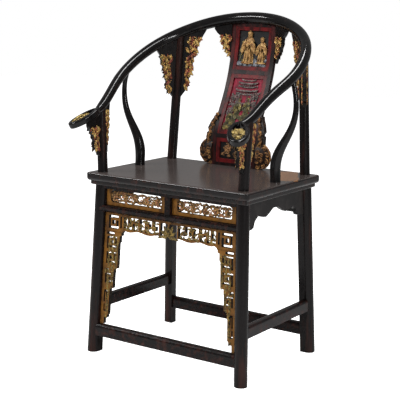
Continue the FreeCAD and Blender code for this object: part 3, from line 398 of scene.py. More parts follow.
petals = []
for k in range(petal_count):
    angle = math.tau * k / petal_count
    petals.append(lay(leaf, Vector((petal_reach * math.cos(angle), petal_reach * math.sin(angle), 0)),
                      Matrix.Rotation(angle, 3, "Z"), petal_shape))
bpy.ops.object.select_all(action="DESELECT")
bpy.ops.mesh.primitive_uv_sphere_add(segments=10, ring_count=6, radius=eye_radius, location=(0, 0, eye_rise))
eye = bpy.context.object
pick(eye, lambda co: co.z > 0.1)
bpy.ops.transform.resize(value=(0.7, 0.7, 0.8))
close_edit()
two_tone(eye, lambda face: face.center.z < eye_hollow_z)
flower = together("flower_pattern", petals + [eye])

scroll = tube([(x, y, 0) for x, y in spiral], spiral_bar, 4)
scroll.name = "scroll_pattern"
rounded(scroll, soft_edge)
two_tone(scroll, lambda face: face.center.z < 0.0)


# Gilt and painted carving finishes
# Gold leaf over gesso and red ground, rubbed and dirty: bright on the high
# places, brown to near black in the hollows, with green and pink paint in patches.
def gilding(name, stops, scale, metal=0.35, rough=0.42, pitted=1.0):
    """Patchy gilding; the stops run from the hollows' colour to the high places' colour."""
    made, tree, surface = material(name, 0.35)
    place = node(tree, "ShaderNodeTexCoord")
    patches = node(tree, "ShaderNodeTexNoise", scale=scale, detail=5.0, roughness=0.65)
    ramp = node(tree, "ShaderNodeValToRGB")
    elements = ramp.color_ramp.elements
    elements[0].position, elements[1].position = stops[0][0], stops[-1][0]
    elements[0].color, elements[1].color = (*stops[0][1], 1), (*stops[-1][1], 1)
    for at, colour in stops[1:-1]:
        elements.new(at).color = (*colour, 1)
    rubbed = node(tree, "ShaderNodeTexNoise", scale=scale * 3.2, detail=4.0)
    pits = node(tree, "ShaderNodeMapRange", from_min=0.42, from_max=0.58, to_min=0.25)
    soiled = node(tree, "ShaderNodeMix", data_type="RGBA", blend_type="MULTIPLY", factor=pitted)
    shine = node(tree, "ShaderNodeMapRange", to_max=metal)
    dull = node(tree, "ShaderNodeMapRange", to_min=rough + 0.3, to_max=rough)
    bumps = node(tree, "ShaderNodeBump", strength=0.6, distance=0.001)
    wire(tree, [(place, "Object", patches, "Vector"), (place, "Object", rubbed, "Vector"),
                (patches, "Fac", ramp, "Fac"), (rubbed, "Fac", pits, "Value"), (ramp, "Color", soiled, "A"),
                (pits, "Result", soiled, "B"), (soiled, "Result", surface, "Base Color"),
                (pits, "Result", shine, "Value"), (shine, "Result", surface, "Metallic"),
                (pits, "Result", dull, "Value"), (dull, "Result", surface, "Roughness"),
                (rubbed, "Fac", bumps, "Height"), (bumps, "Normal", surface, "Normal")])
    return made


dark_brown, old_gold, bright_gold = (0.035, 0.018, 0.008), (0.5, 0.27, 0.06), (0.74, 0.5, 0.17)
faded_red, moss_green = (0.34, 0.07, 0.05), (0.12, 0.13, 0.03)
spandrel_gilt = gilding("spandrel_gilt", [(0.3, dark_brown), (0.42, faded_red), (0.5, old_gold),
                                          (0.6, bright_gold), (0.72, moss_green)], 75)


# Spandrels of the posts and splat
# Black lacquered boards fitted under the rail. The free edge of both faces is carved
# with big leaves and fruit flowers; the board beside the post stays plain.
hands = ((1, "right"), (-1, "left"))
spandrel_half = 0.0055
rear_post_line = (Vector((0.231, 0.160, 0.520)), Vector((0.2088, 0.1687, 0.8969)))
front_post_line = (Vector((0.234, -0.163, 0.520)), Vector((0.2434, -0.1594, 0.6998)))
splat_edge_line = (Vector((0.075, 0.2445, 0.8)), Vector((0.075, 0.2445, 0.9)))
spandrels = {  # line, heading, plain border, step, top, free edge as (reach, height); millimetres
    "rear_post_outer": (rear_post_line, -58.0, 24.0, 13.0, 832, [
        (78, 854), (67, 839), (60, 829), (56, 810), (50, 796), (45, 782), (43, 769), (37, 761),
        (37, 741), (33, 728), (23, 721)]),
    "rear_post_inner": (rear_post_line, 142.0, 24.0, 13.0, 884, [
        (72, 898), (67, 889), (58, 868), (52, 867), (54, 841), (51, 831), (43, 822), (42, 779),
        (34, 766), (34, 739), (28, 729)]),
    "front_post_fore": (front_post_line, -90.0, 18.0, 11.0, 645, [
        (56, 645), (41, 629), (37, 611), (37, 588), (34, 585), (21, 583)]),
    "front_post_back": (front_post_line, 90.0, 14.0, 10.0, 690, [
        (29, 690), (28, 672), (27, 649), (22, 634), (22, 614), (18, 597)]),
    "splat": (splat_edge_line, -25.0, 8.0, 12.0, 898, [
        (50, 905), (46, 899), (36, 890), (35, 875), (26, 854), (10, 832)]),
}
first_row, row_pitch, edge_inset, column_pitch = 0.35, 0.86, 0.36, 0.95  # shares of the step
carving_growth, carving_lean, leaf_stretch = (1.15, 1.45), (35, 75), 1.25
seed_offset = 9


def reach_at(outline, z):
    """How far a spandrel's free edge is from its post at a height."""
    return next(near + (far - near) * (z - low) / (top - low)
                for (far, top), (near, low) in zip(outline, outline[1:]) if low <= z <= top)


def face_turn(out, face, side):
    """A turn that lays a pattern on a face with its length along out, mirrored on the left."""
    turn = Matrix((out, face.cross(out), face)).transposed()
    if side < 0:
        turn = Matrix.Diagonal((-1, 1, 1)) @ turn @ Matrix.Diagonal((1, -1, 1))
    return turn


def dress(name, copies, finish):
    """Joins copies into a piece with its finish and dark hollows, and ties it to the chair."""
    piece = together(name, copies)
    if not piece.material_slots:
        piece.data.materials.append(finish)
    for place in piece.material_slots:
        place.material = hollow_dark if place.material == hollow else finish
    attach(piece, "root")
    return piece


def carve_spandrel(label, side, hand):
    """Leaves, flowers and scrolls in rows over both faces of a board's free edge."""
    line, heading, border, step, top, outline = spandrels[label]
    along = Vector((math.cos(math.radians(heading)), math.sin(math.radians(heading)), 0))
    draw = random.Random(len(label) + seed_offset).uniform
    copies = []
    z, row = outline[-1][1] + step * first_row, 0
    while z < top:
        axis = line[0].lerp(line[1], (z / 1000 - line[0].z) / (line[1].z - line[0].z))
        reach, count = reach_at(outline, z) - step * edge_inset, 0
        while reach > border or count == 0:
            angle = math.radians(draw(*carving_lean) * (1 if (row + count) % 2 else -1))
            out = along * math.cos(angle) + Vector((0, 0, math.sin(angle)))
            pattern = (leaf, flower, leaf, scroll)[(row + count * 2) % 4]
            size = step / 1000 * draw(*carving_growth)
            wide = size * (leaf_stretch if pattern is leaf else 1.0)
            for way in (1, -1):
                face = Vector((-along.y, along.x, 0)) * way
                point = axis + along * reach / 1000 + face * spandrel_half
                point.x *= side
                copies.append(lay(pattern, point, face_turn(out, face, side), (wide, size, size)))
            reach -= step * column_pitch
            count += 1
        z += step * row_pitch
        row += 1
    dress(f"{hand}_{label}_carving", copies, spandrel_gilt)


spandrel_lacquer = lacquer("spandrel_lacquer", (0.0065, 0.0055, 0.0055), (0.035, 0.015, 0.01), (40, 0.6),
                           (0.54, 0.74), (0.16, 0.4), 0.2)
for label in spandrels:
    for side, hand in hands:
        carve_spandrel(label, side, hand)
for side, hand in hands:
    paint(spandrel_lacquer, f"rear_{hand}_post_outer_spandrel", f"rear_{hand}_post_inner_spandrel",
          f"front_{hand}_post_fore_spandrel", f"front_{hand}_post_back_spandrel",
          f"splat_{hand}_spandrel")


# Hand rest flowers
# A gilt peony domed up inside each open loop, pale and bright from rubbing.
# A crescent stays open at the loop's inner end.
loop_gilt = gilding("loop_gilt", [(0.38, (0.08, 0.05, 0.015)), (0.5, (0.4, 0.27, 0.06)),
                                  (0.68, (0.74, 0.58, 0.22))], 120, 0.3, 0.4)
loop_centre = Vector((0.2525, -0.2195, 0.674))
loop_long = Vector((0.4261, -0.7914, -0.4384))
loop_cross = Vector((0.8805, 0.4741, 0.0))
loop_face = Vector((0.2078, -0.3860, 0.8988))
rose_length, rose_width, rose_shift = 0.025, 0.0165, 0.011
rose_rings = ((9, 0.84, 0.026), (6, 0.46, 0.025), (4, 0.16, 0.021))  # petals, reach, petal size
rose_base, ring_rise, ring_twist = 0.004, 0.0035, 0.3
for side, hand in hands:
    rose = []
    for ring, (count, reach, size) in enumerate(rose_rings):
        for k in range(count):
            angle = math.tau * (k + ring * ring_twist) / count
            along = math.cos(angle) * rose_length * reach + rose_shift
            across = math.sin(angle) * rose_width * reach
            point = (loop_centre + loop_long * along + loop_cross * across
                     + loop_face * (rose_base + ring * ring_rise))
            point.x *= side
            out = (loop_long * math.cos(angle) + loop_cross * math.sin(angle)).normalized()
            rose.append(lay(leaf, point, face_turn(out, loop_face, side), (size, size * 0.95, size * 0.85)))
    piece = dress(f"{hand}_loop_peony", rose, loop_gilt)
    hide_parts(f"{hand}_hand_rest_flower")


# Gourds at the splat's foot
# Round gourds, brown-gold, their faces carved with a whirl of scrolls round a flower
# inside a rim, with a leafy stem up the side of the splat.
gourd_gilt = gilding("gourd_gilt", [(0.3, (0.06, 0.024, 0.008)), (0.46, (0.26, 0.11, 0.035)),
                                    (0.64, (0.5, 0.25, 0.075))], 60, 0.3, 0.4)
gourd_core = lacquer("gourd_core", (0.012, 0.006, 0.004), (0.05, 0.022, 0.01), (60, 1.0), (0.5, 0.7),
                     (0.4, 0.6), 0.2)
gourd_centre = Vector((0.084, 0.153, 0.557))
gourd_radius, gourd_bulge, gourd_lift = 0.0385, 0.013, 0.0005
rim_inset, rim_bar, rim_inner_x, rim_low_z = 0.002, 0.003, 0.0752, 0.5205
whirl_rings = ((0.74, 10, scroll, 0.019), (0.36, 6, scroll, 0.016), (0.0, 1, flower, 0.016))
whirl_inner_x, whirl_low_z, whirl_angle = -0.004, 0.5225, 0.9
gourd_stem = [(97, 596), (95, 606), (92, 616), (92, 626), (88, 637), (85, 647), (81, 656), (78, 665)]
stem_faces, stem_foot, stem_slope = ((-1, 0.1465), (1, 0.1615)), 600, 0.00028
stem_inset, stem_leaf = 0.007, (0.017, 0.014, 0.014)
paint(gourd_core, "splat_left_gourd_carving", "splat_right_gourd_carving")


def upright_turn(angle, face, side):
    """A face turn whose length is at an angle from level, as seen from the front."""
    out = Vector((math.cos(angle), 0, math.sin(angle)))
    return face_turn((out - face * out.dot(face)).normalized(), face, side)


for side, hand in hands:
    bpy.ops.object.select_all(action="DESELECT")
    bpy.ops.mesh.primitive_torus_add(
        major_radius=gourd_radius - rim_inset, minor_radius=rim_bar, major_segments=40, minor_segments=8,
        location=(gourd_centre.x * side, gourd_centre.y, gourd_centre.z), rotation=(math.pi / 2, 0, 0))
    rim = bpy.context.object
    bpy.ops.object.transform_apply(location=True, rotation=True, scale=True)
    pick(rim, lambda co: co.x * side < rim_inner_x or co.z < rim_low_z)
    bpy.ops.mesh.delete(type="VERT")
    close_edit()
    pieces = [rim]
    for ring, count, pattern, size in whirl_rings:
        for k in range(count):
            angle = math.tau * (k + 0.5) / count
            x, z = gourd_radius * ring * math.cos(angle), gourd_radius * ring * math.sin(angle)
            if x < whirl_inner_x or z + gourd_centre.z < whirl_low_z:
                continue
            rise = gourd_bulge * (1 - ring * ring) + gourd_lift
            for way in (-1, 1):
                point = gourd_centre + Vector((x, way * rise, z))
                point.x *= side
                turn = upright_turn(angle + whirl_angle * way, Vector((0, way, 0)), side)
                pieces.append(lay(pattern, point, turn, (size, size, size * 0.8)))
    draw = random.Random(4).uniform
    for index, (x, z) in enumerate(gourd_stem):
        for way, y in stem_faces:
            angle = math.radians(90 + (-40, 35)[index % 2] + draw(-15, 15))
            point = Vector((side * (x / 1000 - stem_inset), y + (z - stem_foot) * stem_slope, z / 1000))
            pattern = flower if index % 3 == 1 else leaf
            pieces.append(lay(pattern, point, upright_turn(angle, Vector((0, way, 0)), side), stem_leaf))
    dress(f"{hand}_gourd_carving", pieces, gourd_gilt)


# Front panels
# Two ochre painted boards between seat rail and mid rail. Each has one long
# opening filled with a flowering vine, gilt with green and pink touches.
seat_height, leg_inner_x, leg_splay, front_plane_y, leg_rake = 520, 216, 18, -163, 22  # millimetres
lean = math.atan(leg_rake / seat_height)
front_board = (9, 217.5, 428, 476)
panel_left, panel_right, panel_low, panel_high, panel_corner = 26.5, 202.0, 438.5, 472.5, 9
panel_middle = (panel_low + panel_high) / 2
panel_cell, board_thickness, board_bevel = 1.5, 0.012, 0.0007
vines = ((10, 46, 2.0, 5, 0.4), (11, 60, 1.8, 6, 2.6))  # swing, wave, bar, depth, phase
bloom_places, bloom_size, bloom_scroll_size, vine_leaf_pitch = (42, 78, 116, 152, 188), 25, 19, 10
ochre = lacquer("ochre_paint", (0.215, 0.088, 0.009), (0.075, 0.03, 0.006), (60, 0.6), (0.44, 0.66),
                (0.35, 0.6), 0.25)
panel_gilt = gilding("panel_gilt", [(0.3, (0.05, 0.022, 0.01)), (0.42, (0.2, 0.1, 0.03)),
                                    (0.52, (0.46, 0.25, 0.08)), (0.62, (0.42, 0.15, 0.09)),
                                    (0.72, (0.16, 0.14, 0.05))], 85, 0.2, 0.45)


def leg_face(z):
    """The front leg's inner face at a height, in millimetres."""
    return leg_inner_x + leg_splay * (seat_height - z) / seat_height


def front_y(z):
    """The front plane at a height, in millimetres; it leans back with the legs."""
    return front_plane_y - leg_rake * (seat_height - z) / seat_height


def sheet(x0, x1, z0, z1, across, tall):
    """An upright sheet of so many cells across and up, between places in millimetres."""
    bpy.ops.object.select_all(action="DESELECT")
    bpy.ops.mesh.primitive_grid_add(x_subdivisions=across, y_subdivisions=tall, size=1)
    made = bpy.context.object
    made.scale = ((x1 - x0) / 1000, (z1 - z0) / 1000, 1)
    made.rotation_euler = (math.pi / 2, 0, 0)
    made.location = ((x0 + x1) / 2000, 0, (z0 + z1) / 2000)
    bpy.ops.object.transform_apply(location=True, rotation=True, scale=True)
    return made


def fret_board(size, cell, keep, side=1, slant=False):
    """A board sawn from a sheet of cells that pass a test, leaning in the front plane."""
    x0, x1, z0, z1 = size
    board = sheet(x0, x1, z0, z1, round((x1 - x0) / cell), round((z1 - z0) / cell))
    for face in board.data.polygons:
        face.select = not keep(face.center.x * 1000, face.center.z * 1000)
    for point in board.data.vertices:
        point.select = False
    bpy.context.tool_settings.mesh_select_mode = (False, False, True)
    bpy.ops.object.mode_set(mode="EDIT")
    bpy.ops.mesh.delete(type="FACE")
    bpy.context.tool_settings.mesh_select_mode = (True, False, False)
    bpy.ops.mesh.select_all(action="DESELECT")
    bpy.ops.mesh.select_non_manifold()
    bpy.ops.mesh.vertices_smooth(factor=0.5, repeat=3)
    close_edit()
    for point in board.data.vertices:
        height = point.co.z * 1000
        if slant:
            point.co.x = (leg_face(height) - point.co.x * 1000) / 1000
        point.co.x *= side
        point.co.y = front_y(height) / 1000
    thick = board.modifiers.new("board", "SOLIDIFY")
    thick.thickness = board_thickness
    thick.offset = 0
    edge = board.modifiers.new("edge", "BEVEL")
    edge.width = board_bevel
    edge.segments = 1
    lone(board)
    bpy.ops.object.modifier_apply(modifier="board")
    pick(board, lambda co: True)
    bpy.ops.transform.translate(value=(0, board_thickness / 2, 0))
    close_edit(mend=True)
    bpy.ops.object.modifier_apply(modifier="edge")
    return two_tone(board, lambda face: abs(face.normal.y) < 0.5)


def on_front(x, z, side, angle, size, pattern, depth=0.0, thick=1.0, stretch=1.0):
    """Lays a carving on the front plane at (x, z) in millimetres."""
    turn = upright_turn(angle, Vector((0, -math.cos(lean), math.sin(lean))), side)
    point = Vector((side * x / 1000, (front_y(z) + depth) / 1000, z / 1000))
    return lay(pattern, point, turn, (size / 1000 * stretch, size / 1000, size / 1000 * thick))


def vine(side, swing, wave, bar, depth, phase):
    """A winding stem along a panel's opening."""
    x0, x1 = panel_left - 2, panel_right + 2
    count = round((x1 - x0) / wave * 5)
    places = []
    for index in range(count):
        x = x0 + (x1 - x0) * index / (count - 1)
        z = panel_middle + swing * math.sin(phase + math.tau * (x - x0) / wave)
        places.append((side * x / 1000, (front_y(z) + depth) / 1000, z / 1000))
    return tube(places, bar / 1000, 3)


def panel_keep(x, z):
    """True outside the opening, whose corners are rounded."""
    past_x = max(panel_corner - min(x - panel_left, panel_right - x), 0)
    past_z = max(panel_corner - min(z - panel_low, panel_high - z), 0)
    return math.hypot(past_x, past_z) > panel_corner


for side, hand in hands:
    board = fret_board(front_board, panel_cell, panel_keep, side)
    dress(f"{hand}_front_panel_board", [board], ochre)
    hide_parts(f"front_{hand}_pierced_panel")
    draw = random.Random(11 + side).uniform
    blooms = [vine(side, *path) for path in vines]
    for x in bloom_places:
        blooms.append(on_front(x, panel_middle + draw(-4, 4), side, draw(0, 1), bloom_size, flower, 2,
                               thick=0.8))
        blooms.append(on_front(x + 17, panel_middle, side, draw(0, 6), bloom_scroll_size, scroll, 3.5,
                               thick=0.9))
    x = panel_left + 5
    while x < panel_right - 3:
        for level in (-1, 1):
            angle = draw(-0.9, 0.9) + (math.pi if draw(0, 1) < 0.5 else 0)
            blooms.append(on_front(x, panel_middle + level * draw(9, 13), side, angle, draw(11, 14), leaf,
                                   draw(2, 5), stretch=leaf_stretch))
        x += vine_leaf_pitch
    dress(f"{hand}_front_panel_vine", blooms, panel_gilt)


# Fret apron
# One ochre painted fret: a band under the mid rail and a stepped leg down each
# side, sawn into square spirals, with carved leaves and a flower in the middle.
# Places are (x, x, z, z) or (x, z) in millimetres; a leg's x starts at the chair's leg.
fret_gilt = gilding("fret_gilt", [(0.3, (0.04, 0.024, 0.008)), (0.44, (0.14, 0.095, 0.02)),
                                  (0.54, (0.34, 0.22, 0.05)), (0.64, (0.18, 0.14, 0.04)),
                                  (0.74, (0.08, 0.07, 0.025))], 85, 0.2, 0.45)
fret_cell, band_board, leg_board = 1.2, (-222, 222, 353, 410), (0, 62, 84, 357)
band_low, band_end, band_round, scallop_depth, scallop_wave = 361, 160, 11, 2.5, 11
band_openings = [(174, 207, 395, 401), (202, 207, 366, 401), (174, 207, 364, 370), (174, 180, 364, 388),
                 (186, 196, 377, 388), (162, 167, 368, 400), (104, 153, 367, 401), (33, 98, 367, 401),
                 (0, 28, 355, 401)]
band_bars = [(122, 127, 365, 396), (111, 127, 386, 391), (137, 142, 374, 403), (137, 147, 374, 379),
             (111, 116, 379, 391), (78, 83, 365, 396), (66, 83, 386, 391), (66, 71, 376, 391),
             (52, 57, 374, 403), (43, 57, 374, 379), (43, 48, 374, 388), (0, 3, 380, 403)]
leg_openings = [(10, 22, 240, 247), (9, 13, 150, 184), (9, 21, 178, 184), (17, 22, 156, 184),
                (9, 22, 122, 126), (9, 13, 122, 144), (18, 22, 130, 144), (10, 34, 346, 352)]
for x, z, size in ((11, 306, 1.0), (11, 262, 1.0), (10, 205, 0.82)):
    for x0, x1, z0, z1 in ((0, 5, 0, 34), (0, 33, 29, 34), (28, 33, 9, 34), (11, 33, 3, 8), (12, 21, 14, 23)):
        leg_openings.append((x + x0 * size, x + x1 * size, z + z0 * size, z + z1 * size))
leg_steps = [(61, 345), (55, 325), (51, 251), (41, 236), (39, 192), (29, 172), (27.5, 113), (24, 103),
             (13, 84)]
leg_tip = (13, 103)
corner_leaves = ((15, 364, 0.1, 17), (17, 375, 0.6, 16), (12, 388, 1.2, 14), (27, 362, -0.2, 13))
band_leaf_columns, band_leaf_rows, leaf_share = range(38, 158, 10), (370, 384, 397), 0.75
band_scrolls, band_middle_z, leg_leaf_rows = (46, 74, 104, 132, 150), 381, range(108, 346, 11)
narrow_leg, narrow_leaves, wide_leaves, nearest_leaf = 30, (6,), (6, 19, 31), 9


def in_any(boxes, x, z):
    """Whether a place is in one of the boxes."""
    return any(x0 <= x <= x1 and z0 <= z <= z1 for x0, x1, z0, z1 in boxes)


def leg_reach(z):
    """How wide a hanging leg is at a height."""
    return next(width for width, low in leg_steps if z >= low)


def band_keep(x, z):
    """The band, with its corner spirals and open scrolls, alike on both sides."""
    x = abs(x)
    scallop = band_low - scallop_depth * math.cos(x / scallop_wave)
    if x > leg_face(z) or z < scallop and x < band_end - band_round:
        return False
    corner = math.hypot(x - (band_end - band_round), z - (band_low - band_round))
    if x < band_end and z < band_low and corner < band_round:
        return False
    return not in_any(band_openings, x, z) or in_any(band_bars, x, z)


def leg_keep(width, z):
    """A hanging leg: its stepped outline less the openings of its spirals."""
    if width > leg_reach(z) or width > leg_tip[0] and z < leg_tip[1]:
        return False
    return not in_any(leg_openings, width, z)


band = fret_board(band_board, fret_cell, band_keep)
dress("fret_band", [band], ochre)
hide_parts("front_apron_band")
trim = [on_front(0, 377, 1, math.pi / 2, 34, flower, depth=-1, thick=0.5),
        on_front(0, 377, 1, math.pi / 2, 20, flower, depth=-5, thick=0.5)]
for side, hand in hands:
    board = fret_board(leg_board, fret_cell, leg_keep, side, True)
    dress(f"{hand}_fret_leg", [board], ochre)
    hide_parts(f"front_apron_{hand}_leg")
    draw = random.Random(21).uniform
    for x, z, angle, size in corner_leaves:
        trim.append(on_front(x, z, side, angle, size, leaf, depth=-0.5, thick=0.8, stretch=1.4))
    for x in band_leaf_columns:
        for z in band_leaf_rows:
            if draw(0, 1) < leaf_share:
                trim.append(on_front(x + draw(-3, 3), z + draw(-2, 2), side, draw(0, math.tau), draw(10, 13),
                                     leaf, depth=draw(0, 3), thick=0.9, stretch=1.3))
    for x in band_scrolls:
        trim.append(on_front(x, band_middle_z + draw(-5, 5), side, draw(0, 6), 21, scroll, depth=1,
                             thick=0.9))
    for row, z in enumerate(leg_leaf_rows):
        reach = leg_reach(z)
        for column, inset in enumerate(narrow_leaves if reach < narrow_leg else wide_leaves):
            width = reach - inset
            if width > nearest_leaf:
                pattern = (leaf, scroll, leaf, flower)[(row + column * 2) % 4]
                trim.append(on_front(leg_face(z) - width, z, side, draw(0.9, 2.2), draw(11, 14), pattern,
                                     depth=0.3, thick=0.75,
                                     stretch=leaf_stretch if pattern is leaf else 1.0))
dress("fret_leaves", trim, fret_gilt)


# Figures in the splat's upper panel
# Two gilt robed figures in low relief on a black ground, one tall, one short,
# on grey-blue rocks. The faces are plain and calm.
figure_gilt = gilding("figure_gilt", [(0.34, (0.13, 0.055, 0.018)), (0.48, (0.38, 0.2, 0.065)),
                                      (0.64, (0.58, 0.37, 0.14))], 110, 0.2, 0.45, 0.45)
rock_paint = lacquer("rock_paint", (0.09, 0.1, 0.12), (0.3, 0.31, 0.33), (90, 1.0), (0.45, 0.62), (0.4, 0.6),
                     0.2)
green_gilt = gilding("green_gilt", [(0.3, (0.04, 0.036, 0.028)), (0.48, (0.12, 0.11, 0.05)),
                                    (0.6, (0.3, 0.23, 0.07)), (0.72, (0.46, 0.33, 0.1))], 80, 0.2, 0.45)
relief_sink = 0.003
upper_figures = (  # name, height, width, which way it turns, x, z; millimetres
    ("tall_figure", 96, 46, 1, -14, 811), ("short_figure", 78, 37, -1, 31, 812))
robe_foot, pleat_top, pleat_count, pleat_pinch = 0.86, 0.52, 8, (0.8, 0.74, 1)
head_share, head_height, head_shape = 0.082, 0.87, (0.88, 0.8, 1.05)
robe_rings = ((0.05, 0.97), (0.2, 0.8), (0.17, 0.84), (0.14, 1.08), (0.14, 1.02), (0.08, 0.8), (0.03, 0.4))
robe_folds = (  # across, out and up in shares of half and height; lean in degrees; length, width, depth
    (-0.66, 0.3, 0.52, 74, 0.46, 0.3, 0.3), (0.66, 0.3, 0.52, -74, 0.46, 0.3, 0.3),
    (-0.3, 0.48, 0.6, 24, 0.34, 0.16, 0.2), (0.3, 0.48, 0.6, -24, 0.34, 0.16, 0.2),
    (-0.36, 0.36, 0.24, 84, 0.46, 0.13, 0.18), (0.34, 0.36, 0.24, -80, 0.46, 0.13, 0.18),
    (0.0, 0.44, 0.3, 90, 0.5, 0.15, 0.2), (0.0, 0.56, 0.56, 90, 0.16, 0.14, 0.2),
    (-0.42, 0.3, 0.05, 12, 0.26, 0.1, 0.16), (0.42, 0.3, 0.05, -12, 0.26, 0.1, 0.16))
face_parts = (  # the nose, the eyelids and the mouth: across, up and size in shares of the head
    (0, -0.02, (0.4, 0.52, 1.36)), (-0.3, 0.22, (0.52, 0.4, 0.32)), (0.3, 0.22, (0.52, 0.4, 0.32)),
    (0, -0.36, (0.48, 0.4, 0.32)))
cap_rings = ((0.3, 1.06), (0.35, 0.8), (0.2, 0.5))
rock_spots = ((-42, 3, 20), (-24, 0, 17), (-5, 1, 20), (14, 3, 22), (34, 2, 22), (8, 10, 15), (43, 12, 15),
              (26, 9, 18))
sprig_spots = ((-42, 826, 80), (-38, 840, 60), (-44, 850, 110), (-39, 862, 70), (-43, 834, 140),
               (-35, 852, 20), (-37, 872, 95), (-33, 822, 40))


def splat_face(x, z, panel):
    """Where a panel's front lies at (x, z) in millimetres, with its outward direction."""
    hit, point, normal, face = nodes[panel].ray_cast(Vector((x / 1000, -1, z / 1000)), Vector((0, 1, 0)))
    return point, normal


def set_in(piece, x, z, panel, sink=0.0):
    """Stands a relief, modelled upright at the origin, on a panel, so that it follows the curve."""
    for vertex in piece.data.vertices:
        across, depth, rise = vertex.co
        point, normal = splat_face(x + across * 1000, z + rise * 1000, panel)
        vertex.co = point - normal * (min(depth, relief_sink) + sink)
    return piece


def on_splat(x, z, panel, angle, size, pattern, lift=0.0, thick=1.0, stretch=1.0):
    """Lays a carving on a splat panel at (x, z) in millimetres."""
    point, normal = splat_face(x, z, panel)
    return lay(pattern, point + normal * lift / 1000, upright_turn(angle, normal, 1),
               (size / 1000 * stretch, size / 1000, size / 1000 * thick))


def grown(start, rings, unit, sides, flat):
    """A relief grown upwards from an oval, ring by ring: (rise in units, growth) for each."""
    bpy.ops.object.select_all(action="DESELECT")
    bpy.ops.mesh.primitive_circle_add(vertices=sides, radius=start, fill_type="NGON")
    body = bpy.context.object
    body.scale = (1, flat, 1)
    bpy.ops.object.transform_apply(location=False, rotation=False, scale=True)
    bpy.ops.object.mode_set(mode="EDIT")
    bpy.ops.mesh.select_all(action="SELECT")
    for rise, growth in rings:
        bpy.ops.mesh.extrude_region_move(TRANSFORM_OT_translate={"value": (0, 0, unit * rise)})
        bpy.ops.transform.resize(value=(growth, growth, 1))
    close_edit(mend=True)
    return body


def robed_figure(height, width, turn_to):
    """A standing figure in a wide-sleeved robe with its hands together; sizes in millimetres."""
    unit, half = height / 1000, width / 2000
    robe = grown(half * robe_foot, robe_rings, unit, 32, 0.5)
    pick(robe, lambda co: co.z < unit * pleat_top
         and math.sin(math.atan2(co.y * 2, co.x) * pleat_count) > 0.2)
    bpy.ops.transform.resize(value=pleat_pinch)
    close_edit()
    parts = [robe]
    front = Matrix(((1, 0, 0), (0, 0, 1), (0, -1, 0))).transposed()
    for across, out, rise, lean_by, length, wide, deep in robe_folds:
        turn = Matrix.Rotation(math.radians(-lean_by), 3, "Y") @ front
        parts.append(lay(leaf, Vector((across * half, -out * half, rise * unit)), turn,
                         (length * unit, wide * unit, deep * unit)))
    upright = Matrix.Identity(3)
    head = unit * head_share
    middle = Vector((half * 0.08 * turn_to, -half * 0.16, unit * head_height))
    bpy.ops.object.select_all(action="DESELECT")
    bpy.ops.mesh.primitive_uv_sphere_add(segments=20, ring_count=14, radius=head, location=middle)
    face = bpy.context.object
    face.scale = head_shape
    bpy.ops.object.transform_apply(location=False, rotation=False, scale=True)
    parts.append(face)
    look = middle + Vector((head * 0.1 * turn_to, -head * 0.74, 0))
    for across, rise, size in face_parts:
        parts.append(lay(leaf, look + Vector((across * head, 0, rise * head)), upright, Vector(size) * head))
    cap = grown(head * 0.95, cap_rings, head, 18, 0.85)
    cap.location = middle + Vector((0, 0, head * 0.5))
    knot = lay(leaf, middle + Vector((0, 0, head * 1.45)), upright, (head, head * 1.2, head * 1.4))
    figure = together("figure", parts + [cap, knot])
    rounded(figure, 45)
    return figure


def rock_pile(spots):
    """Low lumps of rock: (x, z, size) in millimetres, modelled upright at the origin."""
    lumps = []
    for index, (x, z, size) in enumerate(spots):
        bpy.ops.object.select_all(action="DESELECT")
        bpy.ops.mesh.primitive_ico_sphere_add(subdivisions=2, radius=size / 2000,
                                              location=(x / 1000, 0, z / 1000))
        lump = bpy.context.object
        lump.scale = (1.25, 0.5, 0.8)
        lump.rotation_euler = (0, index * 0.9, 0)
        pick(lump, lambda co: co.x + co.z > size / 3000)
        bpy.ops.transform.resize(value=(0.7, 0.8, 0.7))
        close_edit()
        lumps.append(lump)
    return together("rocks", lumps)


for name, height, width, turn_to, x, z in upper_figures:
    figure = set_in(robed_figure(height, width, turn_to), x, z, upper_panel)
    dress(name, [figure], figure_gilt)
rocks = set_in(rock_pile(rock_spots), 0, 809, upper_panel)
dress("panel_rocks", [rocks], rock_paint)
sprigs = [on_splat(x, z, upper_panel, math.radians(angle), 12, leaf, stretch=14 / 12)
          for x, z, angle in sprig_spots]
dress("panel_sprigs", sprigs, green_gilt)


# Scene in the splat's middle panel
# A pavilion roof, trees, hills and four small robed figures, carved in relief from
# the panel on its red ground, in old gold gone green.
grey_gilt = gilding("grey_gilt", [(0.32, (0.05, 0.03, 0.03)), (0.5, (0.14, 0.12, 0.11)),
                                  (0.62, (0.2, 0.09, 0.09)), (0.72, (0.3, 0.26, 0.2))], 90, 0.15, 0.5)
beam_upturn, beam_bevel = 0.004, 0.0005
roof_beams = (  # width, z, thickness, depth; millimetres
    (48, 761, 4, 4.5), (66, 752, 4.5, 5.5), (56, 742, 3, 4), (74, 731, 4.5, 5.5), (60, 722, 3, 3.5))
clumps = (  # x, z, half width, half height, number of leaves
    (-33, 704, 13, 24, 26), (33, 706, 12, 24, 24), (-2, 690, 20, 9, 16), (-38, 668, 9, 18, 12),
    (37, 668, 9, 22, 14))
scene_figures = ((54, 26, 1, -14, 658), (52, 25, -1, 16, 664), (44, 23, 1, -32, 636), (42, 22, -1, 34, 640))


